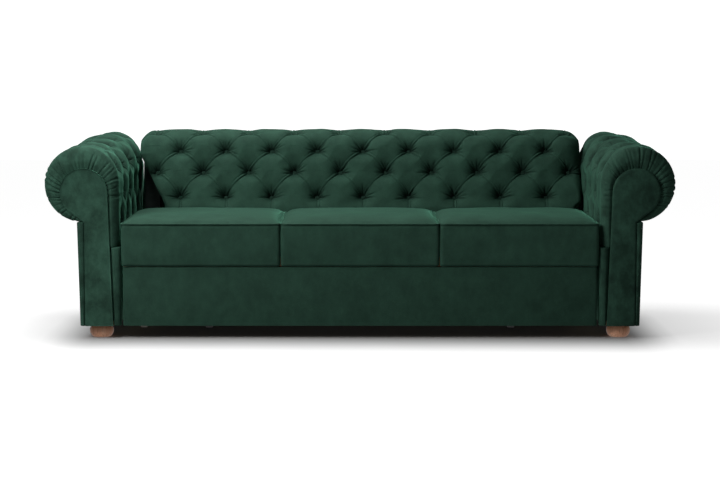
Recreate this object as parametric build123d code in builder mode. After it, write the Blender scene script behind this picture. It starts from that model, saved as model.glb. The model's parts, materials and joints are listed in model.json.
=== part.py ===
"""Three-seat rolled-arm sofa bed: fixed arms, a seat box that slides forward, a back that lies
down behind it, and a seat that lifts off the bedding box. Millimetres, +Z up, front towards -Y,
origin on the floor under the middle of the sofa. "Right" is +X and "left" is -X."""

from build123d import *

from math import asin, cos, degrees, radians, sin, sqrt
import os

# ---- overall sizes -------------------------------------------------------------------------
FRONT, REAR = -450, 450    # facing of the arms, back of the arms
GAP = 0.3                  # clearance between neighbouring pieces
FLOOR_GAP = 50             # underside of the panels above the floor
BOARD = 18                 # plywood and chipboard thickness
PLATE = 4                  # thickness of the mechanism plates

# arm section, in the XZ plane
ROLL_X, ROLL_Z, ROLL_R = 1058.5, 590, 141.5
CORE_R = 101.5             # hollow inside the padding, filled by the scroll boards
ARM_IN = ROLL_X - ROLL_R   # padded inner face
ARM_PANEL_IN, ARM_PANEL_OUT = 925, 940   # plain inner panel under the padding
ARM_WALL_OUT = 1078        # outer panel
STRIP_FRONT = -445         # the outer panel wraps round beside the facing's stem
PAD_BOTTOM = 352           # lower edge of the tufted padding
FACE_X, FACE_Z, FACE_R = 1050, 562, 90   # disc of the front facing
FACE_LOW_IN, FACE_OUT = 943, 1049        # foot of the facing's stem, which widens to the floor
FACE_NECK_Z = 447          # where the disc runs into the stem on the outer side
FACE_THICK = 24
BODY_FRONT = FRONT + FACE_THICK          # front of the arm behind its facing
BODY_REAR = 436            # rear of the arm inside its rear facing
RAIL = 40                  # section of the rails along the arm
STEM_RAILS = ((985, 380), (1036, 420))   # the two rails below the roll

# feet
FOOT_R, FOOT_TOP_R, FOOT_BASE_R = 46, 38, 35
FOOT_X, FOOT_FRONT_Y, FOOT_REAR_Y = 996, -365, 385
BOLT_R, BOLT_HEAD_R = 4, 8
BOLT_LOW = 22

# rear cover between the arms
COVER_TOP, LEDGE_FRONT, LEDGE_THICK = 246, 318, 12
BEAM_LOW = 60
CROSS_FRONT, CROSS_REAR, CROSS_TOP = -45, 15, 73   # rail across between the arms

# slide, fold and lift
SLIDE_TRAVEL = 250
BACK_TILT = 12             # lean of the back at rest, from the vertical
FOLD_ANGLE = 90 - BACK_TILT
BACK_PIVOT_Y, BACK_PIVOT_Z = 231, 340
LIFT_PIVOT_Y, LIFT_PIVOT_Z = 118, 424
PLATE_IN = 903             # inner face of the side plates
PLATE_OUT = PLATE_IN + PLATE
PIN_HEAD_OUT = 910.3
BACK_PIN_R, LIFT_PIN_R = 7, 5
PIN_HEAD_EXTRA = 4
RUN_CLEARANCE = 0.05
PLATE_FOOT, PLATE_FOOT_SIZE = (30, 204), (130, 128)      # the part screwed to the box side
LIFT_ARM_FOOT, LIFT_ARM_R = (78, 250), 17
BACK_ARM_KNEE, BACK_ARM_FOOT, BACK_ARM_R = (118, 350), (84, 240), 20

# guide that leans the back down as the seat box slides
GUIDE_U, GUIDE_V, GUIDE_PIN_R = 30, -60, 6
GUIDE_IN, GUIDE_OUT = 911.5, 914.5
GUIDE_PIN_END = 915.7
SLOT_WIDTH = 2 * GUIDE_PIN_R + 2.4
GUIDE_MARGIN = 18
SPACERS = ((60, 260), (180, 287), (286, 318))
SPACER_R = 7

# seat box
BOX_HALF = 903
BOX_SIDE_IN = BOX_HALF - BOARD
BOX_FRONT, BOX_REAR = -423, 100
BOX_LOW, BOX_BOTTOM, BOX_TOP = 76, 80, 275
BOX_BOTTOM_THICK = 6
PANEL_FRONT = -440         # upholstered front panel
REAR_BOARD_TOP = 245
TAB_LEFT, TAB_RIGHT, TAB_THICK, TAB_LOW = -838, -814, 3, 43   # pull tab under the front board

# seat
SEAT_HALF = 910
FRAME_HALF = 897
FRAME_LOW, FRAME_TOP = 277, 311
FRAME_FRONT, FRAME_REAR = -421, 108
FRAME_STILE, FRAME_RAIL = 50, 45
FELT_LOW, FELT_TOP = 315.3, 318
CUSHION_FRONT, CUSHION_REAR, CUSHION_LOW_REAR = -447, 141, 114
CUSHION_LIP, CUSHION_BASE, CUSHION_EDGE, CUSHION_CROWN = 281, 318.3, 440, 26
CUSHION_SPLIT = 303.3      # the two seams between the three cushions
NOTCH_Y, NOTCH_HALF = 38, 892.5   # the rear corners step in beside the lift plates
NOTCH_DEEP = 120           # length of the cutter for those corners
LIFT_PLATE_IN = FRAME_HALF
LIFT_BOSS_R = 13
LIFT_FOOT_Y, LIFT_FOOT_LENGTH, LIFT_FOOT_MARGIN = 80, 54, 4
WIRE = 3.6
SPRING_SPAN, SPRING_WIDTH, SPRING_TURNS = 484, 46, 11
SPRINGS_PER_SEAT = 4

# back, in its own frame: u up along the back, v towards the sitter, zero at the pivot
BACK_HALF, BACK_LOW_HALF = 908, 884
BACK_V = 92                # half of the back's thickness
BACK_ROUND_U = 340         # centre of the rounded top
BACK_BASE_U = -75
PAD_V = -18                # rear of the padding
TOE_R = 50                 # rounded lower front edge of the padding
STEP_U = 105               # below this the padding is narrower, beside the hinge plates
SLANT_TOP_U, SLANT_LOW_U = 325, 110      # the left end of the padding slants in between these
SLANT_HALF = 800           # half-width of the padding below the slant
BACK_FRAME_HALF = 893
BACK_FRAME_V0, BACK_FRAME_V1 = -80, -20
BACK_FRAME_U0 = -55
HEEL_R = 40                # rounded lower rear edge of the rear panel and frame
REAR_PANEL_V = -82
STRAP_THICK, STRAP_WIDTH, STRAP_COUNT = 1.4, 60, 12
STRAP_U, STRAP_LENGTH = 142, 380
BACK_STILE = 60            # rails and stiles of the back frame
BACK_BOSS_R = 20
BACK_LEAF_PLACE, BACK_LEAF_SIZE = (-50, 45), (56, 90)    # hinge plate on the end of the frame
TUFT_PITCH = 188           # buttons along a row
TUFT_SHIFT = 12            # the pattern sits this far to the right of the middle
TUFT_SINK = 16             # depth of the pocket behind each button
ROW_U = ((142, 9), (245, 10), (333, 9))  # rows on the flat face and their buttons
ROW_TOP_ANGLE, ROW_TOP_COUNT = 52, 10    # row on the rounded top, degrees above the face

# arm tufting
ARM_ROW_Z = (442, 552)     # rows on the flat inner face
ARM_ROW_ANGLES = (152, 110, 68, 26)      # rows round the roll, degrees from outwards
ARM_PITCH, ARM_FIRST_Y, ARM_COLUMNS = 180, -330, 5
BUTTON_R, BUTTON_H, BUTTON_TAPER = 11, 7, 25
POCKET_R = 12

# running gear
TRACK_IN, TRACK_OUT, TRACK_WALL = 909, 925, 2
TRACK_LOW, TRACK_HIGH, TRACK_FRONT, TRACK_REAR = 140, 175, -205, 105
ROLLER_R, ROLLER_Y, ROLLER_IN, ROLLER_OUT = 15.2, 70, 911, 920
CASTER_R, CASTER_X, CASTER_Y, CASTER_WIDTH = 22, 600, -120, 26
CHEEK = 3
AXLE_R = 4
FORK_R, FORK_LENGTH, FORK_ROOT, FORK_PLATE = 9, 44, 8, 60

TILT_SIN, TILT_COS = sin(radians(BACK_TILT)), cos(radians(BACK_TILT))
BACK_OUT = Vector(0, -TILT_COS, TILT_SIN)
BACK_UP = Vector(0, TILT_SIN, TILT_COS)
BACK_PIVOT = Vector(0, BACK_PIVOT_Y, BACK_PIVOT_Z)

os.makedirs("parts", exist_ok=True)


def save(part, name):
    """Label one piece and write it to its own file."""
    part.label = name
    export_step(part, f"parts/{name}.step")


def save_pair(part, name):
    """Write a right-hand piece and its mirror image as two nodes."""
    save(part, f"right_{name}")
    save(mirror(part, about=Plane.YZ), f"left_{name}")


def save_both_sides(part, name):
    """Write a right-hand piece and its mirror image as one node of separate solids."""
    save(Compound(children=[*part.solids(), *mirror(part, about=Plane.YZ).solids()]), name)


def block(x0, x1, y0, y1, z0, z1):
    """A plain board between two corners."""
    with BuildPart() as board:
        with BuildSketch(Plane.XY.offset(z0)):
            with Locations(((x0 + x1) / 2, (y0 + y1) / 2)):
                Rectangle(x1 - x0, y1 - y0)
        extrude(amount=z1 - z0)
    return board.part


def front_plane(y_rear):
    """Plane for an XZ outline that is extruded forwards from y_rear."""
    return Plane.XZ.offset(-y_rear)


def side_plane(x_inner):
    """Plane for a YZ outline that is extruded outwards from x_inner."""
    return Plane.YZ.offset(x_inner)


def back_section_plane(x_left):
    """Plane for an outline in (v, u) of the back that is extruded to the left from x_left."""
    return Plane(origin=BACK_PIVOT + Vector(x_left, 0, 0), x_dir=BACK_OUT, z_dir=(-1, 0, 0))


def back_face_plane(v):
    """Plane for an outline in (X, u) of the back, at a depth v, extruded towards the sitter."""
    return Plane(origin=BACK_PIVOT + BACK_OUT * v, x_dir=(1, 0, 0), z_dir=BACK_OUT)


def roll_point(radius, angle):
    """Point on a circle about the arm's roll, angle in degrees from outwards."""
    return (ROLL_X + radius * cos(radians(angle)), ROLL_Z + radius * sin(radians(angle)))


def staggered(count):
    """Places of a row of buttons about zero, one pitch apart."""
    return [(index - (count - 1) / 2) * TUFT_PITCH for index in range(count)]


# ---- arms ------------------------------------------------------------------------------------
def arm_facing():
    """Front facing: a disc that runs down into a straight stem."""
    reach = sqrt((FACE_OUT - FACE_X) ** 2 + (FACE_NECK_Z - FACE_Z) ** 2)
    touch_angle = radians(-degrees(asin(FACE_R / reach)))
    touch = (FACE_X + FACE_R * cos(touch_angle), FACE_Z + FACE_R * sin(touch_angle))
    with BuildPart() as facing:
        with BuildSketch(front_plane(BODY_FRONT - GAP)):
            with BuildLine():
                Polyline(
                    (FACE_X - FACE_R, FACE_Z), (FACE_LOW_IN, FLOOR_GAP), (FACE_OUT, FLOOR_GAP),
                    (FACE_OUT, FACE_NECK_Z), touch,
                )
                ThreePointArc(touch, (FACE_X, FACE_Z + FACE_R), (FACE_X - FACE_R, FACE_Z))
            make_face()
        extrude(amount=FACE_THICK - GAP)
        fillet(facing.faces().sort_by(Axis.Y)[0].edges(), radius=5)
    return facing.part


def arm_core(y_front, y_rear):
    """A scroll board: the outline inside the padding, down to the underside of the arm."""
    low = FLOOR_GAP + BOARD + GAP
    pad_in = ARM_IN + ROLL_R - CORE_R + GAP
    with BuildPart() as board:
        with BuildSketch(front_plane(y_rear)):
            with BuildLine():
                Polyline(
                    (pad_in, ROLL_Z), (pad_in, PAD_BOTTOM - GAP), (ARM_PANEL_OUT + GAP, PAD_BOTTOM - GAP),
                    (ARM_PANEL_OUT + GAP, low), (ROLL_X, low), roll_point(CORE_R - GAP, -90),
                )
                ThreePointArc(
                    roll_point(CORE_R - GAP, -90), roll_point(CORE_R - GAP, 45), (pad_in, ROLL_Z)
                )
            make_face()
        extrude(amount=y_rear - y_front)
    return board.part


def arm_button_planes():
    """Planes on the padded face, one for each button, facing outwards from the padding."""
    planes = []
    rows = [((ARM_IN, z), (-1, 0)) for z in ARM_ROW_Z]
    for angle in ARM_ROW_ANGLES:
        rows.append((roll_point(ROLL_R, angle), (cos(radians(angle)), sin(radians(angle)))))
    for row, ((x, z), (nx, nz)) in enumerate(rows):
        shift = (row % 2) * ARM_PITCH / 2
        for column in range(ARM_COLUMNS - row % 2):
            y = ARM_FIRST_Y + shift + column * ARM_PITCH
            planes.append(Plane(origin=(x, y, z), x_dir=(0, 1, 0), z_dir=(nx, 0, nz)))
    return planes


def sunk(planes):
    """The same planes at the bottom of the button pockets."""
    return [plane.offset(-TUFT_SINK) for plane in planes]


def buttons_on(planes):
    """Covered buttons, one on each plane."""
    with BuildPart() as buttons:
        with BuildSketch(*sunk(planes)):
            Circle(BUTTON_R)
        extrude(amount=BUTTON_H, taper=BUTTON_TAPER)
    return buttons.part


def arm_pad():
    """Padding of the arm: up the inner face, over the roll and under its outer side."""
    with BuildPart() as pad:
        with BuildSketch(front_plane(BODY_REAR)):
            with BuildLine():
                Line((ARM_IN, PAD_BOTTOM), (ARM_IN, ROLL_Z))
                ThreePointArc((ARM_IN, ROLL_Z), roll_point(ROLL_R, 45), roll_point(ROLL_R, -90))
                Line(roll_point(ROLL_R, -90), roll_point(CORE_R, -90))
                ThreePointArc(roll_point(CORE_R, -90), roll_point(CORE_R, 45), roll_point(CORE_R, 180))
                Polyline(
                    roll_point(CORE_R, 180), (ROLL_X - CORE_R, PAD_BOTTOM), (ARM_IN, PAD_BOTTOM)
                )
            make_face()
        extrude(amount=BODY_REAR - BODY_FRONT)
        with BuildSketch(*arm_button_planes()):
            Circle(POCKET_R)
        extrude(amount=-TUFT_SINK, mode=Mode.SUBTRACT)
    return pad.part


def arm_outer_panel():
    """Upholstered outer side of the arm, under the roll, wrapped round to the facing's stem."""
    with BuildPart() as panel:
        with BuildSketch(Plane.XY.offset(FLOOR_GAP)):
            Polygon(
                (ROLL_X + GAP, BODY_REAR), (ARM_WALL_OUT, BODY_REAR), (ARM_WALL_OUT, STRIP_FRONT),
                (FACE_OUT + GAP, STRIP_FRONT), (FACE_OUT + GAP, BODY_FRONT - GAP),
                (ROLL_X + GAP, BODY_FRONT - GAP),
                align=None,
            )
        extrude(amount=FACE_NECK_Z - GAP - FLOOR_GAP)
    return panel.part


def arm_rear_facing():
    """Thin rear cover of the whole arm section."""
    with BuildPart() as facing:
        with BuildSketch(front_plane(REAR)):
            with BuildLine():
                Polyline(
                    (ARM_IN, ROLL_Z), (ARM_IN, PAD_BOTTOM), (ARM_PANEL_IN, PAD_BOTTOM),
                    (ARM_PANEL_IN, FLOOR_GAP), (ARM_WALL_OUT, FLOOR_GAP),
                    (ARM_WALL_OUT, ROLL_Z - ROLL_R), roll_point(ROLL_R, -90),
                )
                ThreePointArc(roll_point(ROLL_R, -90), roll_point(ROLL_R, 45), (ARM_IN, ROLL_Z))
            make_face()
        extrude(amount=REAR - BODY_REAR - GAP)
    return facing.part


def arm_rails():
    """Rails along the arm between the two scroll boards."""
    y0, y1 = BODY_FRONT + BOARD, BODY_REAR - BOARD
    centres = (roll_point(CORE_R - RAIL, 90), roll_point(CORE_R - RAIL, 0), *STEM_RAILS)
    with BuildPart() as rails:
        with BuildSketch(front_plane(y1)):
            with Locations(*centres):
                Rectangle(RAIL, RAIL)
        extrude(amount=y1 - y0)
    return rails.part


def arm_bottom_board():
    """Board under the arm, bored for the foot bolts."""
    with BuildPart() as board:
        with BuildSketch(Plane.XY.offset(FLOOR_GAP)):
            with Locations(((ARM_PANEL_OUT + ROLL_X) / 2 + GAP / 2, (BODY_FRONT + BODY_REAR) / 2)):
                Rectangle(ROLL_X - ARM_PANEL_OUT - GAP, BODY_REAR - BODY_FRONT)
            with Locations((FOOT_X, FOOT_FRONT_Y), (FOOT_X, FOOT_REAR_Y)):
                Circle(BOLT_R + RUN_CLEARANCE, mode=Mode.SUBTRACT)
        extrude(amount=BOARD)
    return board.part


def make_arms():
    """Every fixed piece of the two arms."""
    save_pair(arm_facing(), "arm_facing")
    save_pair(arm_core(BODY_FRONT, BODY_FRONT + BOARD), "arm_front_board")
    save_pair(arm_core(BODY_REAR - BOARD, BODY_REAR), "arm_rear_board")
    save_pair(arm_pad(), "arm_pad")
    save_pair(buttons_on(arm_button_planes()), "arm_buttons")
    save_pair(arm_outer_panel(), "arm_outer_panel")
    save_pair(arm_rear_facing(), "arm_rear_facing")
    inner_panel = block(
        ARM_PANEL_IN, ARM_PANEL_OUT, BODY_FRONT, BODY_REAR, FLOOR_GAP, PAD_BOTTOM - GAP
    )
    save_pair(inner_panel, "arm_inner_panel")
    save_both_sides(arm_rails(), "arm_rails")
    save_both_sides(arm_bottom_board(), "arm_bottom_boards")


# ---- feet ------------------------------------------------------------------------------------
def bun_foot(x, y):
    """Turned bun foot with a blind hole for its bolt."""
    middle = FLOOR_GAP / 2
    with BuildPart() as foot:
        with BuildSketch(Plane.XZ.offset(-y)):
            with BuildLine():
                Line((x, 0), (x + FOOT_BASE_R, 0))
                Spline(
                    (x + FOOT_BASE_R, 0), (x + FOOT_R, middle), (x + FOOT_TOP_R, FLOOR_GAP),
                    tangents=((1, 0.5), (-1, 0.7)),
                )
                Polyline((x + FOOT_TOP_R, FLOOR_GAP), (x, FLOOR_GAP), (x, 0))
            make_face()
        revolve(axis=Axis((x, y, 0), (0, 0, 1)))
        with BuildSketch(Plane.XY.offset(FLOOR_GAP)):
            with Locations((x, y)):
                Circle(BOLT_R + RUN_CLEARANCE)
        extrude(amount=BOLT_LOW - GAP - FLOOR_GAP, mode=Mode.SUBTRACT)
    return foot.part


def foot_bolts():
    """Hanger bolts from the feet up through the bottom boards, with their nuts."""
    spots = [(x, y) for x in (-FOOT_X, FOOT_X) for y in (FOOT_FRONT_Y, FOOT_REAR_Y)]
    nut_low = FLOOR_GAP + BOARD
    with BuildPart() as bolts:
        with BuildSketch(Plane.XY.offset(BOLT_LOW)):
            with Locations(*spots):
                Circle(BOLT_R)
        extrude(amount=nut_low - BOLT_LOW)
        with BuildSketch(Plane.XY.offset(nut_low)):
            with Locations(*spots):
                RegularPolygon(BOLT_HEAD_R, 6)
        extrude(amount=BOLT_R)
    return bolts.part


def make_feet():
    """The four feet and their bolts."""
    for side, x in (("left", -FOOT_X), ("right", FOOT_X)):
        save(bun_foot(x, FOOT_FRONT_Y), f"front_{side}_foot")
        save(bun_foot(x, FOOT_REAR_Y), f"rear_{side}_foot")
    save(foot_bolts(), "foot_bolts")


# ---- fixed frame between the arms ------------------------------------------------------------
def slide_track():
    """Channel inside the arm that carries the rear roller of the seat box."""
    length = TRACK_REAR - TRACK_FRONT
    with BuildPart() as track:
        with BuildSketch(front_plane(TRACK_REAR)):
            with Locations(((TRACK_IN + TRACK_OUT) / 2, (TRACK_LOW + TRACK_HIGH) / 2)):
                Rectangle(TRACK_OUT - TRACK_IN, TRACK_HIGH - TRACK_LOW)
            with Locations(((TRACK_IN + TRACK_OUT) / 2 - TRACK_WALL, (TRACK_LOW + TRACK_HIGH) / 2)):
                Rectangle(
                    TRACK_OUT - TRACK_IN, TRACK_HIGH - TRACK_LOW - 2 * TRACK_WALL,
                    mode=Mode.SUBTRACT,
                )
        extrude(amount=length)
    return track.part


def guide_path():
    """Start, middle and end of the guide pin's path, as the back leans down over the travel."""
    points = []
    for share in (0, 0.5, 1):
        lean = radians(BACK_TILT + FOLD_ANGLE * share)
        y = BACK_PIVOT_Y - SLIDE_TRAVEL * share + GUIDE_U * sin(lean) - GUIDE_V * cos(lean)
        z = BACK_PIVOT_Z + GUIDE_U * cos(lean) + GUIDE_V * sin(lean)
        points.append((y, z))
    return points


def guide_plate():
    """Fixed plate with the curved slot that the guide pin runs in."""
    path = guide_path()
    rear_y, rear_z = path[0]
    front_y, front_z = path[2]
    thick = GUIDE_OUT - GUIDE_IN
    low_drop = 2 * GUIDE_MARGIN
    with BuildLine() as centre_line:
        ThreePointArc(path[0], path[1], path[2])
    with BuildPart() as plate:
        with BuildSketch(side_plane(GUIDE_IN)):
            Polygon(
                (front_y - GUIDE_MARGIN, front_z + GUIDE_MARGIN),
                (front_y - GUIDE_MARGIN, front_z - low_drop),
                (front_y + 4 * GUIDE_MARGIN, front_z - low_drop),
                (rear_y + GUIDE_MARGIN, rear_z - 3 * GUIDE_MARGIN),
                (rear_y + GUIDE_MARGIN, rear_z + GUIDE_MARGIN),
                align=None,
            )
        extrude(amount=thick)
        fillet(plate.edges().filter_by(Axis.X), radius=8)
        with BuildSketch(side_plane(GUIDE_IN)):
            SlotArc(centre_line.edges()[0], SLOT_WIDTH)
        extrude(amount=thick, mode=Mode.SUBTRACT)
    return plate.part


def guide_spacers():
    """Spacers that hold the guide plate off the arm's inner panel."""
    with BuildPart() as spacers:
        with BuildSketch(side_plane(GUIDE_OUT)):
            with Locations(*SPACERS):
                Circle(SPACER_R)
        extrude(amount=ARM_PANEL_IN - GUIDE_OUT)
    return spacers.part


def rear_cover():
    """Upholstered rear cover that turns forward over the beam as a ledge behind the back."""
    with BuildPart() as cover:
        with BuildSketch(side_plane(-ARM_PANEL_IN)):
            Polygon(
                (REAR, FLOOR_GAP), (REAR, COVER_TOP), (LEDGE_FRONT, COVER_TOP),
                (LEDGE_FRONT, COVER_TOP - LEDGE_THICK), (BODY_REAR, COVER_TOP - LEDGE_THICK),
                (BODY_REAR, FLOOR_GAP),
                align=None,
            )
        extrude(amount=2 * ARM_PANEL_IN)
    return cover.part


def make_fixed_frame():
    """Beams, covers, tracks and guides between the arms."""
    beam = block(
        -ARM_PANEL_IN, ARM_PANEL_IN, BODY_REAR - BOARD, BODY_REAR, BEAM_LOW, COVER_TOP - LEDGE_THICK
    )
    save(beam, "rear_beam")
    save(rear_cover(), "rear_cover")
    rail = block(-ARM_PANEL_IN, ARM_PANEL_IN, CROSS_FRONT, CROSS_REAR, FLOOR_GAP, CROSS_TOP)
    save(rail, "cross_rail")
    save_pair(slide_track(), "slide_track")
    save_pair(guide_plate(), "guide_plate")
    save_both_sides(guide_spacers(), "guide_spacers")


# ---- seat box --------------------------------------------------------------------------------
def side_plate():
    """Steel plate on the box side that carries the back and lift pivots and the roller axle."""
    with BuildPart() as plate:
        with BuildSketch(side_plane(PLATE_IN)):
            with Locations(PLATE_FOOT):
                Rectangle(*PLATE_FOOT_SIZE)
        extrude(amount=PLATE)
        with BuildSketch(side_plane(PLATE_IN)):
            with Locations(LIFT_ARM_FOOT, (LIFT_PIVOT_Y, LIFT_PIVOT_Z)):
                Circle(LIFT_ARM_R)
            make_hull()
        extrude(amount=PLATE)
        with BuildSketch(side_plane(PLATE_IN)):
            with Locations(BACK_ARM_FOOT, BACK_ARM_KNEE, (BACK_PIVOT_Y, BACK_PIVOT_Z)):
                Circle(BACK_ARM_R)
            make_hull()
        extrude(amount=PLATE)
        with BuildSketch(side_plane(PLATE_IN)):
            with Locations((BACK_PIVOT_Y, BACK_PIVOT_Z)):
                Circle(BACK_PIN_R + RUN_CLEARANCE)
            with Locations((LIFT_PIVOT_Y, LIFT_PIVOT_Z)):
                Circle(LIFT_PIN_R + RUN_CLEARANCE)
            with Locations((ROLLER_Y, (TRACK_LOW + TRACK_HIGH) / 2)):
                Circle(AXLE_R + RUN_CLEARANCE)
        extrude(amount=PLATE, mode=Mode.SUBTRACT)
    return plate.part


def pivot_pins():
    """Headed pins of the back and of the seat lift."""
    spots = (
        (BACK_PIVOT_Y, BACK_PIVOT_Z, BACK_PIN_R, BACK_FRAME_HALF + GAP),
        (LIFT_PIVOT_Y, LIFT_PIVOT_Z, LIFT_PIN_R, LIFT_PLATE_IN - 1),
    )
    with BuildPart() as pins:
        for y, z, radius, start in spots:
            with BuildSketch(side_plane(start)):
                with Locations((y, z)):
                    Circle(radius)
            extrude(amount=PLATE_OUT - start)
            with BuildSketch(side_plane(PLATE_OUT)):
                with Locations((y, z)):
                    Circle(radius + PIN_HEAD_EXTRA)
            extrude(amount=PIN_HEAD_OUT - PLATE_OUT)
    return pins.part


def wheel_axles():
    """Axles of the track rollers and of the casters."""
    roller_z = (TRACK_LOW + TRACK_HIGH) / 2
    half = CASTER_WIDTH / 2 + 1 + CHEEK + 3
    with BuildPart() as axles:
        with BuildSketch(side_plane(PLATE_IN)):
            with Locations((ROLLER_Y, roller_z)):
                Circle(AXLE_R)
        extrude(amount=ROLLER_OUT + 1 - PLATE_IN)
        with BuildSketch(side_plane(CASTER_X - half)):
            with Locations((CASTER_Y, CASTER_R)):
                Circle(AXLE_R)
        extrude(amount=2 * half)
    return axles.part


def caster_bracket():
    """Fork of a fixed caster, screwed under the box."""
    inside = CASTER_WIDTH + 2
    top = BOX_BOTTOM - CHEEK
    with BuildPart() as fork:
        with BuildSketch(side_plane(CASTER_X - inside / 2 - CHEEK)):
            with Locations((CASTER_Y, CASTER_R)):
                Circle(FORK_R)
            with Locations((CASTER_Y, BOX_BOTTOM - FORK_ROOT / 2)):
                Rectangle(FORK_LENGTH, FORK_ROOT)
            make_hull()
            with Locations((CASTER_Y, CASTER_R)):
                Circle(AXLE_R + RUN_CLEARANCE, mode=Mode.SUBTRACT)
        extrude(amount=inside + 2 * CHEEK)
        with BuildSketch(Plane.XY.offset(top)):
            with Locations((CASTER_X, CASTER_Y)):
                Rectangle(inside, FORK_PLATE)
        extrude(amount=-top, mode=Mode.SUBTRACT)
        with BuildSketch(Plane.XY.offset(top)):
            with Locations((CASTER_X, CASTER_Y)):
                Rectangle(FORK_PLATE, FORK_PLATE)
        extrude(amount=CHEEK)
    return fork.part


def wheel(x0, x1, y, z, radius):
    """A wheel bored for its axle."""
    with BuildPart() as disc:
        with BuildSketch(side_plane(x0)):
            with Locations((y, z)):
                Circle(radius)
                Circle(AXLE_R + RUN_CLEARANCE, mode=Mode.SUBTRACT)
        extrude(amount=x1 - x0)
    return disc.part


def make_seat_box():
    """The bedding box with its front, plates, pins and running gear."""
    front_board = block(-BOX_HALF, BOX_HALF, BOX_FRONT, BOX_FRONT + BOARD, FLOOR_GAP, BOX_TOP)
    save(front_board, "box_front_board")
    front_panel = block(-BOX_HALF, BOX_HALF, PANEL_FRONT, BOX_FRONT, FLOOR_GAP, BOX_TOP)
    save(front_panel, "front_panel")
    side = block(BOX_SIDE_IN, BOX_HALF, BOX_FRONT + BOARD, BOX_REAR, BOX_LOW, BOX_TOP)
    save_pair(side, "box_side")
    rear = block(
        -BOX_SIDE_IN, BOX_SIDE_IN, BOX_REAR - BOARD, BOX_REAR,
        BOX_BOTTOM + BOX_BOTTOM_THICK, REAR_BOARD_TOP,
    )
    save(rear, "box_rear_board")
    bottom = block(
        -BOX_SIDE_IN, BOX_SIDE_IN, BOX_FRONT + BOARD, BOX_REAR,
        BOX_BOTTOM, BOX_BOTTOM + BOX_BOTTOM_THICK,
    )
    save(bottom, "box_bottom")
    tab = block(TAB_LEFT, TAB_RIGHT, BOX_FRONT, BOX_FRONT + TAB_THICK, TAB_LOW, FLOOR_GAP)
    save(tab, "pull_tab")
    save_pair(side_plate(), "side_plate")
    save_both_sides(pivot_pins(), "pivot_pins")
    save_both_sides(wheel_axles(), "wheel_axles")
    save_both_sides(caster_bracket(), "caster_brackets")
    caster = wheel(
        CASTER_X - CASTER_WIDTH / 2, CASTER_X + CASTER_WIDTH / 2, CASTER_Y, CASTER_R, CASTER_R
    )
    save_pair(caster, "caster_wheel")
    roller = wheel(ROLLER_IN, ROLLER_OUT, ROLLER_Y, (TRACK_LOW + TRACK_HIGH) / 2, ROLLER_R)
    save_pair(roller, "track_roller")


# ---- seat ------------------------------------------------------------------------------------
def seat_frame():
    """Wooden frame with three bays, one under each cushion."""
    middle_y = (FRAME_FRONT + FRAME_REAR) / 2
    bay_depth = FRAME_REAR - FRAME_FRONT - 2 * FRAME_RAIL
    bay_width = 2 * (CUSHION_SPLIT - FRAME_STILE / 2)
    side_width = FRAME_HALF - FRAME_STILE - CUSHION_SPLIT - FRAME_STILE / 2
    side_x = CUSHION_SPLIT + FRAME_STILE / 2 + side_width / 2
    with BuildPart() as frame:
        with BuildSketch(Plane.XY.offset(FRAME_LOW)):
            with Locations((0, middle_y)):
                Rectangle(2 * FRAME_HALF, FRAME_REAR - FRAME_FRONT)
                Rectangle(bay_width, bay_depth, mode=Mode.SUBTRACT)
            with Locations((-side_x, middle_y), (side_x, middle_y)):
                Rectangle(side_width, bay_depth, mode=Mode.SUBTRACT)
        extrude(amount=FRAME_TOP - FRAME_LOW)
    return frame.part


def seat_springs():
    """Sinuous springs that rest on the rails across each bay, under the felt."""
    middle_y = (FRAME_FRONT + FRAME_REAR) / 2
    step = SPRING_SPAN / SPRING_TURNS
    points = []
    for turn in range(SPRING_TURNS):
        side = SPRING_WIDTH / 2 if turn % 2 else -SPRING_WIDTH / 2
        y = -SPRING_SPAN / 2 + turn * step
        points.append((side, y))
        points.append((side, y + step))
    spacing = 2 * CUSHION_SPLIT / (SPRINGS_PER_SEAT + 1)
    centres = []
    for seat in (-1, 0, 1):
        for index in range(SPRINGS_PER_SEAT):
            offset_x = (index - (SPRINGS_PER_SEAT - 1) / 2) * spacing
            centres.append((seat * (2 * CUSHION_SPLIT - 12) + offset_x, middle_y))
    with BuildPart() as springs:
        with BuildSketch(Plane.XY.offset(FRAME_TOP)):
            with BuildLine(mode=Mode.PRIVATE) as zigzag:
                FilletPolyline(*points, radius=step / 2 - 1)
            with Locations(*centres):
                SlotArc(zigzag.wires()[0], WIRE)
        extrude(amount=WIRE)
    return springs.part


def cushion(x0, x1, notch_side):
    """Crowned seat cushion with a lip in front of the seat frame."""
    middle_y = (CUSHION_FRONT + CUSHION_REAR) / 2
    with BuildPart() as pad:
        with BuildSketch(side_plane(x0)):
            with BuildLine():
                Polyline(
                    (CUSHION_REAR, CUSHION_EDGE), (CUSHION_LOW_REAR, CUSHION_BASE),
                    (FRAME_FRONT - 2, CUSHION_BASE), (FRAME_FRONT - 2, CUSHION_LIP),
                    (CUSHION_FRONT, CUSHION_LIP), (CUSHION_FRONT, CUSHION_EDGE),
                )
                ThreePointArc(
                    (CUSHION_FRONT, CUSHION_EDGE), (middle_y, CUSHION_EDGE + CUSHION_CROWN),
                    (CUSHION_REAR, CUSHION_EDGE),
                )
            make_face()
        extrude(amount=x1 - x0)
        if notch_side:
            with BuildSketch(Plane.XY.offset(CUSHION_LIP)):
                with Locations((notch_side * (NOTCH_HALF + 20), NOTCH_Y + NOTCH_DEEP / 2)):
                    Rectangle(40, NOTCH_DEEP)
            extrude(amount=CUSHION_EDGE + CUSHION_CROWN - CUSHION_LIP, mode=Mode.SUBTRACT)
    return pad.part


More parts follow.
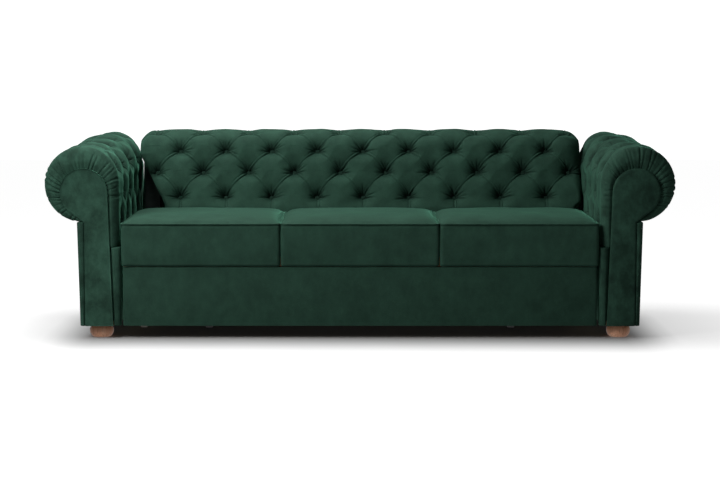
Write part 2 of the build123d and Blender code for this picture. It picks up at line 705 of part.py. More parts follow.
def lift_plate():
    """Plate on the end of the seat frame that hangs it on the lift pivot."""
    with BuildPart() as plate:
        with BuildSketch(side_plane(LIFT_PLATE_IN)):
            with Locations((LIFT_PIVOT_Y, LIFT_PIVOT_Z)):
                Circle(LIFT_BOSS_R)
            with Locations((LIFT_FOOT_Y, (FRAME_LOW + FRAME_TOP) / 2)):
                Rectangle(LIFT_FOOT_LENGTH, FRAME_TOP - FRAME_LOW - LIFT_FOOT_MARGIN)
            make_hull()
            with Locations((LIFT_PIVOT_Y, LIFT_PIVOT_Z)):
                Circle(LIFT_PIN_R + RUN_CLEARANCE, mode=Mode.SUBTRACT)
        extrude(amount=PLATE)
    return plate.part


def make_seat():
    """The lifting seat."""
    save(seat_frame(), "seat_frame")
    save(seat_springs(), "seat_springs")
    felt = block(
        -FRAME_HALF + 6, FRAME_HALF - 6, FRAME_FRONT + 4, FRAME_REAR - 4, FELT_LOW, FELT_TOP
    )
    save(felt, "seat_felt")
    save(cushion(-SEAT_HALF, -CUSHION_SPLIT - GAP, -1), "left_seat_cushion")
    save(cushion(-CUSHION_SPLIT + GAP, CUSHION_SPLIT - GAP, 0), "middle_seat_cushion")
    save(cushion(CUSHION_SPLIT + GAP, SEAT_HALF, 1), "right_seat_cushion")
    save_both_sides(lift_plate(), "lift_plates")


# ---- back ------------------------------------------------------------------------------------
def back_button_planes():
    """Planes on the padded back, one for each button."""
    planes = []
    for row_u, count in ROW_U:
        for place in staggered(count):
            origin = BACK_PIVOT + BACK_UP * row_u + BACK_OUT * BACK_V
            planes.append(Plane(
                origin=origin + Vector(place + TUFT_SHIFT, 0, 0), x_dir=(1, 0, 0), z_dir=BACK_OUT
            ))
    angle = radians(ROW_TOP_ANGLE)
    normal = BACK_OUT * cos(angle) + BACK_UP * sin(angle)
    for place in staggered(ROW_TOP_COUNT):
        origin = BACK_PIVOT + BACK_UP * BACK_ROUND_U + normal * BACK_V
        planes.append(Plane(
            origin=origin + Vector(place + TUFT_SHIFT, 0, 0), x_dir=(1, 0, 0), z_dir=normal
        ))
    return planes


def back_pad():
    """Tufted padding: up the front, over the rounded top and down to the rear panel."""
    toe_u = BACK_BASE_U + TOE_R
    with BuildPart() as pad:
        with BuildSketch(back_section_plane(BACK_HALF)):
            with BuildLine():
                Line((BACK_V, toe_u), (BACK_V, BACK_ROUND_U))
                ThreePointArc(
                    (BACK_V, BACK_ROUND_U), (0, BACK_ROUND_U + BACK_V), (-BACK_V, BACK_ROUND_U)
                )
                Polyline(
                    (-BACK_V, BACK_ROUND_U), (PAD_V, BACK_ROUND_U), (PAD_V, BACK_BASE_U),
                    (BACK_V - TOE_R, BACK_BASE_U),
                )
                ThreePointArc(
                    (BACK_V - TOE_R, BACK_BASE_U),
                    (BACK_V - TOE_R * (1 - cos(radians(45))), toe_u - TOE_R * sin(radians(45))),
                    (BACK_V, toe_u),
                )
            make_face()
        extrude(amount=2 * BACK_HALF)
        with BuildSketch(back_face_plane(-BACK_V - 1)):
            with Locations((BACK_LOW_HALF + 50, STEP_U - 100)):
                Rectangle(100, 200)
            Polygon(
                (-BACK_HALF - 10, SLANT_TOP_U), (-BACK_HALF, SLANT_TOP_U), (-SLANT_HALF, SLANT_LOW_U),
                (-SLANT_HALF, BACK_BASE_U - 10), (-BACK_HALF - 10, BACK_BASE_U - 10), align=None,
            )
        extrude(amount=2 * BACK_V + 2, mode=Mode.SUBTRACT)
        with BuildSketch(*back_button_planes()):
            Circle(POCKET_R)
        extrude(amount=-TUFT_SINK, mode=Mode.SUBTRACT)
    return pad.part


def back_frame():
    """Wooden frame of the back with three bays."""
    top_u = BACK_ROUND_U - GAP
    bay_u = (top_u + BACK_FRAME_U0) / 2
    bay_height = top_u - BACK_FRAME_U0 - 2 * BACK_STILE
    bay_width = (2 * BACK_FRAME_HALF - 4 * BACK_STILE) / 3
    with BuildPart() as frame:
        with BuildSketch(back_face_plane(BACK_FRAME_V0)):
            with Locations((0, bay_u)):
                Rectangle(2 * BACK_FRAME_HALF, top_u - BACK_FRAME_U0)
            with Locations(*[(side * (bay_width + BACK_STILE), bay_u) for side in (-1, 0, 1)]):
                Rectangle(bay_width, bay_height, mode=Mode.SUBTRACT)
        extrude(amount=BACK_FRAME_V1 - BACK_FRAME_V0)
    return frame.part


def back_webbing():
    """Elastic straps across the front of the back frame."""
    pitch = 2 * (BACK_FRAME_HALF - BACK_STILE) / STRAP_COUNT
    places = [((index - (STRAP_COUNT - 1) / 2) * pitch, STRAP_U) for index in range(STRAP_COUNT)]
    with BuildPart() as straps:
        with BuildSketch(back_face_plane(BACK_FRAME_V1)):
            with Locations(*places):
                Rectangle(STRAP_WIDTH, STRAP_LENGTH)
        extrude(amount=STRAP_THICK)
    return straps.part


def back_rear_panel():
    """Upholstered rear of the back."""
    low_u = BACK_BASE_U + HEEL_R
    with BuildPart() as panel:
        with BuildSketch(back_face_plane(-BACK_V)):
            with Locations((0, (BACK_ROUND_U - GAP + low_u) / 2)):
                Rectangle(2 * BACK_LOW_HALF, BACK_ROUND_U - GAP - low_u)
            with Locations((0, (BACK_ROUND_U - GAP + STEP_U) / 2)):
                Rectangle(2 * BACK_HALF, BACK_ROUND_U - GAP - STEP_U)
        extrude(amount=REAR_PANEL_V + BACK_V)
    return panel.part


def back_plate():
    """Hinge plate on the end of the back frame, with its welded guide pin."""
    with BuildPart() as plate:
        with BuildSketch(Plane(
            origin=BACK_PIVOT + Vector(BACK_FRAME_HALF, 0, 0), x_dir=BACK_OUT, z_dir=(-1, 0, 0)
        )):
            with Locations((0, 0)):
                Circle(BACK_BOSS_R)
            with Locations(BACK_LEAF_PLACE):
                Rectangle(*BACK_LEAF_SIZE)
            make_hull()
            Circle(BACK_PIN_R + RUN_CLEARANCE, mode=Mode.SUBTRACT)
        extrude(amount=-PLATE)
        with BuildSketch(Plane(
            origin=BACK_PIVOT + Vector(BACK_FRAME_HALF + PLATE, 0, 0), x_dir=BACK_OUT,
            z_dir=(-1, 0, 0),
        )):
            with Locations((GUIDE_V, GUIDE_U)):
                Circle(GUIDE_PIN_R)
        extrude(amount=-(GUIDE_PIN_END - BACK_FRAME_HALF - PLATE))
    return plate.part


def make_back():
    """The folding back."""
    save(back_frame(), "back_frame")
    save(back_webbing(), "back_webbing")
    save(back_pad(), "back_pad")
    save(buttons_on(back_button_planes()), "back_buttons")
    save(back_rear_panel(), "back_rear_panel")
    save_both_sides(back_plate(), "back_plates")


make_arms()
make_feet()
make_fixed_frame()
make_seat_box()
make_seat()
make_back()
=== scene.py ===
import json
import math
import random

import bmesh
import bpy
import numpy as np
from mathutils import Matrix, Vector


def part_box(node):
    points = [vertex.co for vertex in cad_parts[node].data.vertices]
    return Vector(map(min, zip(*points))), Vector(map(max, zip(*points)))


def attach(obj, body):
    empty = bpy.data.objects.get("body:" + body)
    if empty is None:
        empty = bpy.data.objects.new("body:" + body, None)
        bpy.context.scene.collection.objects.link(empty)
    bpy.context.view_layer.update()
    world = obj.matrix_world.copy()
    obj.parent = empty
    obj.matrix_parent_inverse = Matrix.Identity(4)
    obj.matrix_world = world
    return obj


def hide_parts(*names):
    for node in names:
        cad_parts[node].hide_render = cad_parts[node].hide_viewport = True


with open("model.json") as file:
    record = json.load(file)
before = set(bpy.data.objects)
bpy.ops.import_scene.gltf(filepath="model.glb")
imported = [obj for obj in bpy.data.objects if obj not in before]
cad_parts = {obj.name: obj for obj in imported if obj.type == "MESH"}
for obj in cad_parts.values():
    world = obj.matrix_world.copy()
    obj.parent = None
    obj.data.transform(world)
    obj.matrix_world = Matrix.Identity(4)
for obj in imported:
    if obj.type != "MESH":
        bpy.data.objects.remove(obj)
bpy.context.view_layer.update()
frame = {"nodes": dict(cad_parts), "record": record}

# Metres throughout. +X is the sofa's right as seen from the front, -Y is its front.
MM = 0.001

# ---- places taken from the frame ---------------------------------------------------------------
PAD_LOW, PAD_HIGH = (Vector(corner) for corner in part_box("right_arm_pad"))
ARM_IN = PAD_LOW.x
ROLL_R = (PAD_HIGH.x - PAD_LOW.x) / 2
ROLL_X = PAD_LOW.x + ROLL_R
ROLL_Z = PAD_HIGH.z - ROLL_R
CORE_R = ROLL_R - 40 * MM
PAD_BOTTOM = PAD_LOW.z
FACE_LOW, FACE_HIGH = (Vector(corner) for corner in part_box("right_arm_facing"))
FACE_R = 90 * MM
FACE_X = FACE_HIGH.x - FACE_R
FACE_Z = FACE_HIGH.z - FACE_R
FACE_END = math.radians(-51.5)       # where the disc's edge meets the stem
NECK_X, NECK_Z = 1049 * MM, 447 * MM
STEM_FOOT_X = 943 * MM
FRONT = FACE_LOW.y

joints = {joint["name"]: joint for joint in frame["record"]["behaviour"]["joints"]}
BACK_PIVOT = Vector(joints["back_fold"]["pos_m"])
TILT = math.radians(12)
BACK_UP = Vector((0, math.sin(TILT), math.cos(TILT)))
BACK_OUT = Vector((0, -math.cos(TILT), math.sin(TILT)))
BACK_HALF = 908 * MM
BACK_V = 92 * MM
BACK_TOP_U = 340 * MM


# ---- small tools -------------------------------------------------------------------------------
def keep(name, bm, body, material, replaced=(), angle=None):
    """Turn a bmesh into a finished piece that rides on its body."""
    mesh = bpy.data.meshes.new(name)
    bm.to_mesh(mesh)
    bm.free()
    piece = bpy.data.objects.new(name, mesh)
    bpy.context.collection.objects.link(piece)
    mesh.materials.append(material)
    mesh.polygons.foreach_set("use_smooth", [True] * len(mesh.polygons))
    if angle is not None:
        mesh.set_sharp_from_angle(angle=math.radians(angle))
    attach(piece, body)
    if replaced:
        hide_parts(*replaced)
    return piece


def get_points(bm):
    """Every vertex place of a bmesh as an array."""
    return np.array([v.co[:] for v in bm.verts])


def set_points(bm, places):
    """Move every vertex of a bmesh to its new place."""
    for vert, place in zip(bm.verts, places):
        vert.co = place


def close_up(bm, distance=0.4 * MM):
    """Merge doubles, cap open rims and point every face outwards."""
    bmesh.ops.remove_doubles(bm, verts=bm.verts, dist=distance)
    rims = [edge for edge in bm.edges if edge.is_boundary]
    if rims:
        caps = bmesh.ops.holes_fill(bm, edges=rims, sides=0)["faces"]
        bmesh.ops.triangulate(bm, faces=caps)
    bmesh.ops.recalc_face_normals(bm, faces=bm.faces)


def raise_outline(places, y_to):
    """A flat outline raised along Y to y_to: its bmesh and the faces of its new side."""
    bm = bmesh.new()
    face = bm.faces.new([bm.verts.new(place) for place in places])
    grown = bmesh.ops.extrude_face_region(bm, geom=[face])["geom"]
    for vert in (part for part in grown if isinstance(part, bmesh.types.BMVert)):
        vert.co.y = y_to
    return bm, [part for part in grown if isinstance(part, bmesh.types.BMFace)]


def keep_plate(name, bm, body, material, replaced, angle=50):
    """Finish a plate: normals outwards, and no face with many sides."""
    bmesh.ops.recalc_face_normals(bm, faces=bm.faces)
    bmesh.ops.triangulate(bm, faces=[face for face in bm.faces if len(face.verts) > 4])
    keep(name, bm, body, material, replaced, angle=angle)


def ramp(value, low, high):
    """Smooth step from 0 at low to 1 at high."""
    share = np.clip((value - low) / (high - low), 0, 1)
    return share * share * (3 - 2 * share)


def waves(a, b, seed, length, count=6):
    """Soft uneven field of about -1 to 1 with a given wavelength."""
    rng = random.Random(seed)
    total = np.zeros_like(a)
    for _ in range(count):
        turn = rng.uniform(0, math.tau)
        size = length * rng.uniform(0.7, 1.5)
        total += np.sin(
            (a * math.cos(turn) + b * math.sin(turn)) * math.tau / size + rng.uniform(0, math.tau)
        )
    return total / math.sqrt(count)


# ---- tufting -----------------------------------------------------------------------------------
CROWN = 9 * MM
DIP_DEPTH, DIP_REACH = 46 * MM, 24 * MM    # the cone that each button pulls in
VALLEY_DEPTH, VALLEY_REACH = 3 * MM, 18 * MM
CREASE_DEPTH, CREASE_REACH = 6 * MM, 2.3 * MM
PLEAT_BOW = 9 * MM
RAY_COUNT = 13


def tuft_pleat(a, b, pleat, rng):
    """Soft valley and sharp crease of one pleat: (a0, b0, a1, b1, strength, strength, bow)."""
    a0, b0, a1, b1, deep0, deep1, bow = pleat
    length = math.hypot(a1 - a0, b1 - b0)
    ta, tb = (a1 - a0) / length, (b1 - b0) / length
    along = (a - a0) * ta + (b - b0) * tb
    share = np.clip(along / length, 0, 1)
    upper = 1 if ta >= 0 else -1
    side = ((a - a0) * -tb + (b - b0) * ta) * upper - bow * 4 * share * (1 - share)
    over = np.maximum(np.abs(along - length / 2) - length / 2, 0)
    away = np.sqrt(side * side + over * over)
    deep = deep0 + (deep1 - deep0) * share
    valley = VALLEY_DEPTH * deep * np.exp(-(away / VALLEY_REACH) ** 1.25)
    fade = 1 - 0.6 * np.sin(np.pi * share) ** 2
    crease = CREASE_DEPTH * deep * fade * np.exp(-away / CREASE_REACH)
    inside = over < 1 * MM
    places = (rng.uniform(0.12, 0.3), rng.uniform(0.7, 0.88))
    fold = np.zeros_like(a)
    for place in places:
        size = rng.uniform(1.4, 3.4) * MM
        reach = np.exp(-((share - place) / rng.uniform(0.16, 0.26)) ** 2) * inside
        offset = rng.uniform(9, 12) * MM
        fold += size * reach * np.exp(-((side - 0.5 * offset) / (2.6 * MM)) ** 2)
        fold -= 1.1 * size * reach * np.exp(-((side - offset) / (2.0 * MM)) ** 2)
    return valley, crease, fold


def tuft_height(a, b, buttons, pleats, seed):
    """Height and painted shade of deep-buttoned padding over a flat (a, b) sheet; b runs upwards.
    """
    rng = random.Random(seed)
    valley, crease = np.zeros_like(a), np.zeros_like(a)
    fine, painted_shade = np.zeros_like(a), np.zeros_like(a)
    for pleat in pleats:
        margin = 80 * MM
        near = np.nonzero(
            (a > min(pleat[0], pleat[2]) - margin) & (a < max(pleat[0], pleat[2]) + margin)
            & (b > min(pleat[1], pleat[3]) - margin) & (b < max(pleat[1], pleat[3]) + margin)
        )[0]
        soft, sharp, fold = tuft_pleat(a[near], b[near], pleat, rng)
        valley[near] = np.maximum(valley[near], soft)
        crease[near] = np.maximum(crease[near], sharp)
        fine[near] += fold
    dip = np.zeros_like(a)
    for ba, bb, pull in buttons:
        near = np.nonzero((np.abs(a - ba) < 110 * MM) & (np.abs(b - bb) < 110 * MM))[0]
        da, db = a[near] - ba, b[near] - bb
        away = np.hypot(da, db * np.where(db > 0, 0.66, 1.35))
        cone = DIP_DEPTH * pull * np.exp(-(away / DIP_REACH) ** 1.05)
        dip[near] = np.maximum(dip[near], cone)
        # painted shade: a dark fan round each button that reaches further above it, as if lit from
        # above
        fan = np.hypot(da, db * np.where(db > 0, 0.8, 2.2))
        dark = 0.75 * pull * np.exp(-(fan / (27 * MM)) ** 1.5)
        for ray in range(RAY_COUNT):
            turn = math.radians(-15 + 210 * (ray + rng.uniform(0.1, 0.9)) / RAY_COUNT)
            along = da * math.cos(turn) + db * math.sin(turn)
            across = -da * math.sin(turn) + db * math.cos(turn)
            bend = rng.uniform(-3, 3) * MM * (along / (40 * MM)) ** 2
            reach = rng.uniform(32, 72) * MM
            window = ramp(along, 4 * MM, 12 * MM) * (1 - ramp(along, 0.45 * reach, reach))
            width = (1.5 + 1.5 * np.clip(along / (40 * MM), 0, 1)) * MM
            line = window * np.exp(-((across - bend) / width) ** 2)
            fine[near] -= rng.uniform(2.2, 6.0) * MM * line
            # painted shade along each wrinkle ray
            dark = dark + rng.uniform(0.15, 0.5) * pull * line
        painted_shade[near] = np.maximum(painted_shade[near], dark)
    swell = waves(a, b, seed + 1, 0.16) * 1.2 * MM + waves(a, b, seed + 2, 0.055) * 0.5 * MM
    # painted shade in the creases too
    painted_shade = np.clip(np.maximum(painted_shade, 0.55 * crease / CREASE_DEPTH), 0, 1)
    return CROWN - valley - crease - dip + fine + swell, painted_shade


def mark_painted_shade(bm, painted_shade):
    """Store the painted shade at each vertex, for the velvet to darken."""
    layer = bm.verts.layers.float.new("painted_shade")
    for vert, value in zip(bm.verts, painted_shade):
        vert[layer] = value


def lattice_pleats(rows, low, high, left, right, low_strength, high_strength):
    """Pleats between neighbouring buttons of staggered rows, and on to the edges of the sheet.

    rows is a list of (b, [a, ...]) from the lowest row up.
    """
    pleats = []
    for (b0, row0), (b1, row1) in zip(rows, rows[1:]):
        pitch = row0[1] - row0[0]
        for a0 in row0:
            for a1 in row1:
                if abs(a1 - a0) < 0.75 * pitch:
                    pleats.append((a0, b0, a1, b1, 1.0, 1.0, PLEAT_BOW))
    for a0 in rows[0][1]:
        pleats.append((a0, rows[0][0], a0, low, 1.0, low_strength, 0))
    for a0 in rows[-1][1]:
        pleats.append((a0, rows[-1][0], a0, high, 0.45, high_strength, 0))
    widest = max(len(row) for _, row in rows)
    for b0, row in rows:
        if len(row) == widest:
            pleats.append((row[0], b0, left, b0 - 3 * MM, 0.9, 0.6, 0))
            pleats.append((row[-1], b0, right, b0 - 3 * MM, 0.9, 0.6, 0))
    return pleats


# ---- materials ---------------------------------------------------------------------------------
def shader(name):
    """A new node material with its Principled shader, its links and an object coordinate."""
    material = bpy.data.materials.new(name)
    material.use_nodes = True
    nodes, links = material.node_tree.nodes, material.node_tree.links
    principled = nodes["Principled BSDF"]
    where = nodes.new("ShaderNodeTexCoord").outputs["Object"]
    return material, nodes, links, principled, where


def dial(node, values):
    """Set the constant of several of a node's own sockets by name."""
    for name, value in values.items():
        node.inputs[name].default_value = value


def noise(nodes, links, where, scale, detail=2.0, roughness=0.5, stretch=(1, 1, 1)):
    """A noise texture on object coordinates."""
    mapping = nodes.new("ShaderNodeMapping")
    mapping.inputs["Scale"].default_value = stretch
    links.new(where, mapping.inputs["Vector"])
    texture = nodes.new("ShaderNodeTexNoise")
    dial(texture, {"Scale": scale, "Detail": detail, "Roughness": roughness})
    links.new(mapping.outputs["Vector"], texture.inputs["Vector"])
    return texture.outputs["Fac"]


def colours(nodes, links, value, stops):
    """A colour ramp over a value."""
    band = nodes.new("ShaderNodeValToRGB")
    for index, (place, colour) in enumerate(stops):
        if index < 2:
            stop = band.color_ramp.elements[index]
            stop.position = place
        else:
            stop = band.color_ramp.elements.new(place)
        stop.color = (*colour, 1)
    links.new(value, band.inputs["Fac"])
    return band.outputs["Color"]


def mix(nodes, links, kind, share, first, second):
    """Mix two colours; share may be a number or a socket."""
    node = nodes.new("ShaderNodeMix")
    node.data_type = "RGBA"
    node.blend_type = kind
    if isinstance(share, float):
        node.inputs["Factor"].default_value = share
    else:
        links.new(share, node.inputs["Factor"])
    for socket, value in ((node.inputs[6], first), (node.inputs[7], second)):
        if isinstance(value, tuple):
            socket.default_value = (*value, 1)
        else:
            links.new(value, socket)
    return node.outputs[2]


def add_bumps(nodes, links, principled, layers):
    """Stack bump layers of (height socket, strength, distance)."""
    last = None
    for height, strength, distance in layers:
        bump = nodes.new("ShaderNodeBump")
        dial(bump, {"Strength": strength, "Distance": distance})
        links.new(height, bump.inputs["Height"])
        if last is not None:
            links.new(last, bump.inputs["Normal"])
        last = bump.outputs["Normal"]
    links.new(last, principled.inputs["Normal"])


# the second colour is painted shade: the near-black green mixed in round the buttons and in the
# creases
VELVET_GREEN, PAINTED_SHADE_GREEN = (0.0222, 0.0600, 0.0408), (0.0025, 0.009, 0.006)


def velvet(name, mottle, painted_shade_scale=1.0):
    """Bottle-green velvet: brushed nap in patches, fine pile, a sheen at glancing angles.

    The colour is darker where the piece's attribute holds painted shade round the buttons and in
    the creases.
    """
    material, nodes, links, principled, where = shader(name)
    patches = noise(nodes, links, where, 12, 4, 0.68)
    strokes = noise(nodes, links, where, 34, 4, 0.62, (1, 1, 0.6))
    pile = noise(nodes, links, where, 560, 2, 0.6)
    # painted shade: a scale below 1 makes a darker copy of the same velvet
    base = tuple(c * painted_shade_scale for c in VELVET_GREEN)
    low, high = 1 - 0.85 * mottle, 1 + 0.8 * mottle
    nap = colours(nodes, links, patches, [(0.36, (low,) * 3), (0.5, (1,) * 3), (0.66, (high,) * 3)])
    faint, strong = 1 - 0.5 * mottle, 1 + 0.4 * mottle
    brushed = colours(nodes, links, strokes, [(0.36, (faint,) * 3), (0.66, (strong,) * 3)])
    speck = colours(nodes, links, pile, [(0.35, (0.78,) * 3), (0.7, (1.2,) * 3)])
    shade = mix(nodes, links, "MULTIPLY", 1.0, base, nap)
    shade = mix(nodes, links, "MULTIPLY", 1.0, shade, brushed)
    shade = mix(nodes, links, "MULTIPLY", 0.6, shade, speck)
    # painted shade: the vertex attribute mixes the colour towards the near-black green
    painted_shade = nodes.new("ShaderNodeAttribute")
    painted_shade.attribute_name = "painted_shade"
    final = mix(nodes, links, "MIX", painted_shade.outputs["Fac"], shade, PAINTED_SHADE_GREEN)
    links.new(final, principled.inputs["Base Color"])
    dial(principled, {
        "Roughness": 0.86, "Specular IOR Level": 0.1, "Sheen Weight": 0.4,
        "Sheen Roughness": 0.34, "Sheen Tint": (0.17, 0.56, 0.37, 1),
    })
    layers = [(patches, 0.2, 0.004), (strokes, 0.12, 0.002), (pile, 0.25, 0.0007)]
    add_bumps(nodes, links, principled, layers)
    return material


def turned_wood(name):
    """Coppery stained beech under a satin lacquer."""
    material, nodes, links, principled, where = shader(name)
    grain = noise(nodes, links, where, 30, 4, 0.6, (1, 1, 0.12))
    pores = noise(nodes, links, where, 240, 2, 0.5, (1, 1, 0.06))
    stops = [(0.3, (0.69, 0.29, 0.15)), (0.55, (0.9, 0.45, 0.27)), (0.75, (0.98, 0.55, 0.36))]
    base = colours(nodes, links, grain, stops)
    dark = colours(nodes, links, pores, [(0.36, (0.62, 0.55, 0.5)), (0.5, (1, 1, 1))])
    links.new(mix(nodes, links, "MULTIPLY", 0.6, base, dark), principled.inputs["Base Color"])
    dial(principled, {"Roughness": 0.38, "Coat Weight": 0.35, "Coat Roughness": 0.25})
    add_bumps(nodes, links, principled, [(pores, 0.15, 0.0006)])
    return material


def raw_wood(name, low, high, across):
    """Unfinished board or plank with grain along X."""
    material, nodes, links, principled, where = shader(name)
    grain = noise(nodes, links, where, across, 5, 0.62, (0.06, 1, 1))
    fine = noise(nodes, links, where, across * 7, 3, 0.6, (0.03, 1, 1))
    base = colours(nodes, links, grain, [(0.3, low), (0.7, high)])
    line = colours(nodes, links, fine, [(0.3, (0.72, 0.66, 0.6)), (0.6, (1, 1, 1))])
    links.new(mix(nodes, links, "MULTIPLY", 0.7, base, line), principled.inputs["Base Color"])
    principled.inputs["Roughness"].default_value = 0.7
    add_bumps(nodes, links, principled, [(fine, 0.2, 0.0008)])
    return material


def lined_board(name, low, high, across):
    """Board whose underside is covered in black dust cloth."""
    material = raw_wood(name, low, high, across)
    nodes, links = material.node_tree.nodes, material.node_tree.links
    principled = nodes["Principled BSDF"]
    wood = principled.inputs["Base Color"].links[0].from_socket
    facing = nodes.new("ShaderNodeSeparateXYZ")
    links.new(nodes.new("ShaderNodeNewGeometry").outputs["Normal"], facing.inputs["Vector"])
    down = nodes.new("ShaderNodeMath")
    down.operation = "LESS_THAN"
    down.inputs[1].default_value = -0.9
    links.new(facing.outputs["Z"], down.inputs[0])
    links.new(mix(nodes, links, "MIX", down.outputs["Value"], wood, (0.012, 0.012, 0.012)),
              principled.inputs["Base Color"])
    return material


def steel(name, low, high, metallic, roughness):
    """Plate or wire with a slightly uneven finish."""
    material, nodes, links, principled, where = shader(name)
    cloud = noise(nodes, links, where, 45, 4, 0.6)
    grit = noise(nodes, links, where, 900, 2, 0.6)
    base = colours(nodes, links, cloud, [(0.35, low), (0.7, high)])
    links.new(base, principled.inputs["Base Color"])
    principled.inputs["Metallic"].default_value = metallic
    wear = nodes.new("ShaderNodeMapRange")
    dial(wear, {"To Min": roughness - 0.08, "To Max": roughness + 0.1})
    links.new(cloud, wear.inputs["Value"])
    links.new(wear.outputs["Result"], principled.inputs["Roughness"])
    add_bumps(nodes, links, principled, [(grit, 0.12, 0.0003)])
    return material


def cloth(name, low, high, scale):
    """Plain woven or felted backing cloth."""
    material, nodes, links, principled, where = shader(name)
    fibres = noise(nodes, links, where, scale, 3, 0.65)
    clumps = noise(nodes, links, where, scale / 14, 3, 0.6)
    base = colours(nodes, links, clumps, [(0.35, low), (0.7, high)])
    fleck = colours(nodes, links, fibres, [(0.35, (0.6, 0.6, 0.6)), (0.65, (1.1, 1.1, 1.1))])
    links.new(mix(nodes, links, "MULTIPLY", 0.8, base, fleck), principled.inputs["Base Color"])
    principled.inputs["Roughness"].default_value = 0.95
    add_bumps(nodes, links, principled, [(fibres, 0.35, 0.0008)])
    return material


VELVET = velvet("green_velvet", 0.15)
VELVET_ARM = velvet("green_velvet_arms", 0.38)
# painted shade: the panels and the buttons get darker copies of the same velvet, the buttons deep
# in shade in their dimples
VELVET_PANEL = velvet("green_velvet_panels", 0.15, 0.93)
VELVET_BUTTON = velvet("green_velvet_buttons", 0.0, 0.55)
FOOT_WOOD = turned_wood("coppery_beech")
BIRCH = (0.42, 0.3, 0.17), (0.6, 0.46, 0.29), 60
PLYWOOD = raw_wood("birch_plywood", *BIRCH)
PINE = raw_wood("planed_pine", (0.46, 0.3, 0.15), (0.66, 0.48, 0.27), 34)
LINED_BOARD = lined_board("lined_bottom_board", *BIRCH)
PLATE_STEEL = steel("black_plate_steel", (0.02, 0.02, 0.022), (0.045, 0.045, 0.048), 0.3, 0.5)
ZINC = steel("zinc_plate", (0.42, 0.43, 0.42), (0.62, 0.62, 0.6), 0.9, 0.36)
SPRING_WIRE = steel("oiled_spring_wire", (0.16, 0.16, 0.17), (0.3, 0.3, 0.31), 0.9, 0.4)
NYLON = steel("black_nylon", (0.012, 0.012, 0.012), (0.03, 0.03, 0.03), 0.0, 0.5)
FELT = cloth("grey_felt", (0.12, 0.115, 0.11), (0.22, 0.21, 0.2), 700)
WEBBING = cloth("black_webbing", (0.012, 0.012, 0.012), (0.03, 0.03, 0.03), 520)
TAPE = cloth("pale_tape", (0.34, 0.32, 0.28), (0.5, 0.47, 0.42), 700)
# near-black green lining: partly a lining cloth, partly painted shade for the gaps that it shows
# through
LINING_AND_GAP_SHADE = cloth("lining_and_gap_shade", (0.006, 0.012, 0.01), (0.012, 0.022, 0.018), 600)

CAD_FINISH = {
    "turned_wood": FOOT_WOOD, "plywood": PLYWOOD, "softwood": PINE, "plate_steel": PLATE_STEEL,
    "zinc_steel": ZINC, "spring_steel": SPRING_WIRE, "nylon": NYLON, "felt": FELT,
    "webbing": WEBBING, "tape": TAPE, "velvet": VELVET_PANEL,
}
# painted shade: boards that show through gaps take the near-black green lining, partly a lining
# cloth and partly painted shade
GAP_SHADE_LINED = ("back_frame", "back_webbing", "box_rear_board", "rear_beam", "left_arm_front_board",
         "right_arm_front_board")
LINED_BELOW = ("box_bottom", "cross_rail", "arm_bottom_boards")


def finish_frame():
    """Give every CAD node its own finish; boards that show through gaps get a near-black green
    lining, partly a lining cloth and partly painted shade in the gaps.
    """
    for entry in frame["record"]["subparts"]:
        node = frame["nodes"][entry["node"]]
        material = CAD_FINISH[entry["material_slot"]]
        if entry["node"] in GAP_SHADE_LINED:
            material = LINING_AND_GAP_SHADE
        if entry["node"] in LINED_BELOW:
            material = LINED_BOARD
        node.data.materials.clear()
        node.data.materials.append(material)


# ---- back --------------------------------------------------------------------------------------
TUFT_PITCH, TUFT_SHIFT = 188 * MM, 12 * MM
ROW_U = ((142 * MM, 9), (245 * MM, 10), (333 * MM, 9))
ROW_TOP_ANGLE = math.radians(52)
TOE_R = 50 * MM
BASE_U, PAD_V = -75 * MM, -18 * MM
SLANT_TOP_U, SLANT_LOW_U, SLANT_HALF = 325 * MM, 110 * MM, 800 * MM
LOW_HALF, STEP_U = 884 * MM, 105 * MM
TOP_PULL = 0.4             # the top row is pulled in less
BACK_PULLS = (1.0, 1.0, 0.95, TOP_PULL)
BACK_SEED = 11
BACK_COLUMNS, BACK_OUTER_ROWS, BACK_INNER_ROWS = 740, 290, 34
SQUEEZE = 0.16             # share of the columns that follows each shaped end


def back_section(b):
    """Section of the padding at arc length b from the toe: (v, u) and the outward (nv, nu)."""
    toe = TOE_R * math.pi / 2
    face = BACK_TOP_U - BASE_U - TOE_R
    top = BACK_V * math.pi
    u_toe = BASE_U + TOE_R
    v_toe = BACK_V - TOE_R
    low = b < toe
    angle = -np.pi / 2 + b / TOE_R
    v = np.where(low, v_toe + TOE_R * np.cos(angle), BACK_V)
    u = np.where(low, u_toe + TOE_R * np.sin(angle), u_toe + b - toe)
    nv, nu = np.where(low, np.cos(angle), 1.0), np.where(low, np.sin(angle), 0.0)
    high = b > toe + face
    angle = np.clip((b - toe - face) / BACK_V, 0, np.pi)
    v = np.where(high, BACK_V * np.cos(angle), v)
    u = np.where(high, BACK_TOP_U + BACK_V * np.sin(angle), u)
    nv, nu = np.where(high, np.cos(angle), nv), np.where(high, np.sin(angle), nu)
    return v, u, nv, nu, toe, face, top


def back_place(x, v, u):
    """Places in the sofa's frame for arrays in the back's own frame."""
    spot = np.empty((len(x), 3))
    for axis in range(3):
        spot[:, axis] = BACK_PIVOT[axis] + BACK_UP[axis] * u + BACK_OUT[axis] * v
    spot[:, 0] += x
    return spot


def staggered(count):
    """Places of a row of buttons about the middle of the pattern."""
    return [(index - (count - 1) / 2) * TUFT_PITCH + TUFT_SHIFT for index in range(count)]


def back_rows():
    """Button rows of the back as (arc length, places)."""
    toe = TOE_R * math.pi / 2
    rows = [(toe + u - BASE_U - TOE_R, staggered(count)) for u, count in ROW_U]
    rows.append((toe + BACK_TOP_U - BASE_U - TOE_R + BACK_V * ROW_TOP_ANGLE, staggered(10)))
    return rows


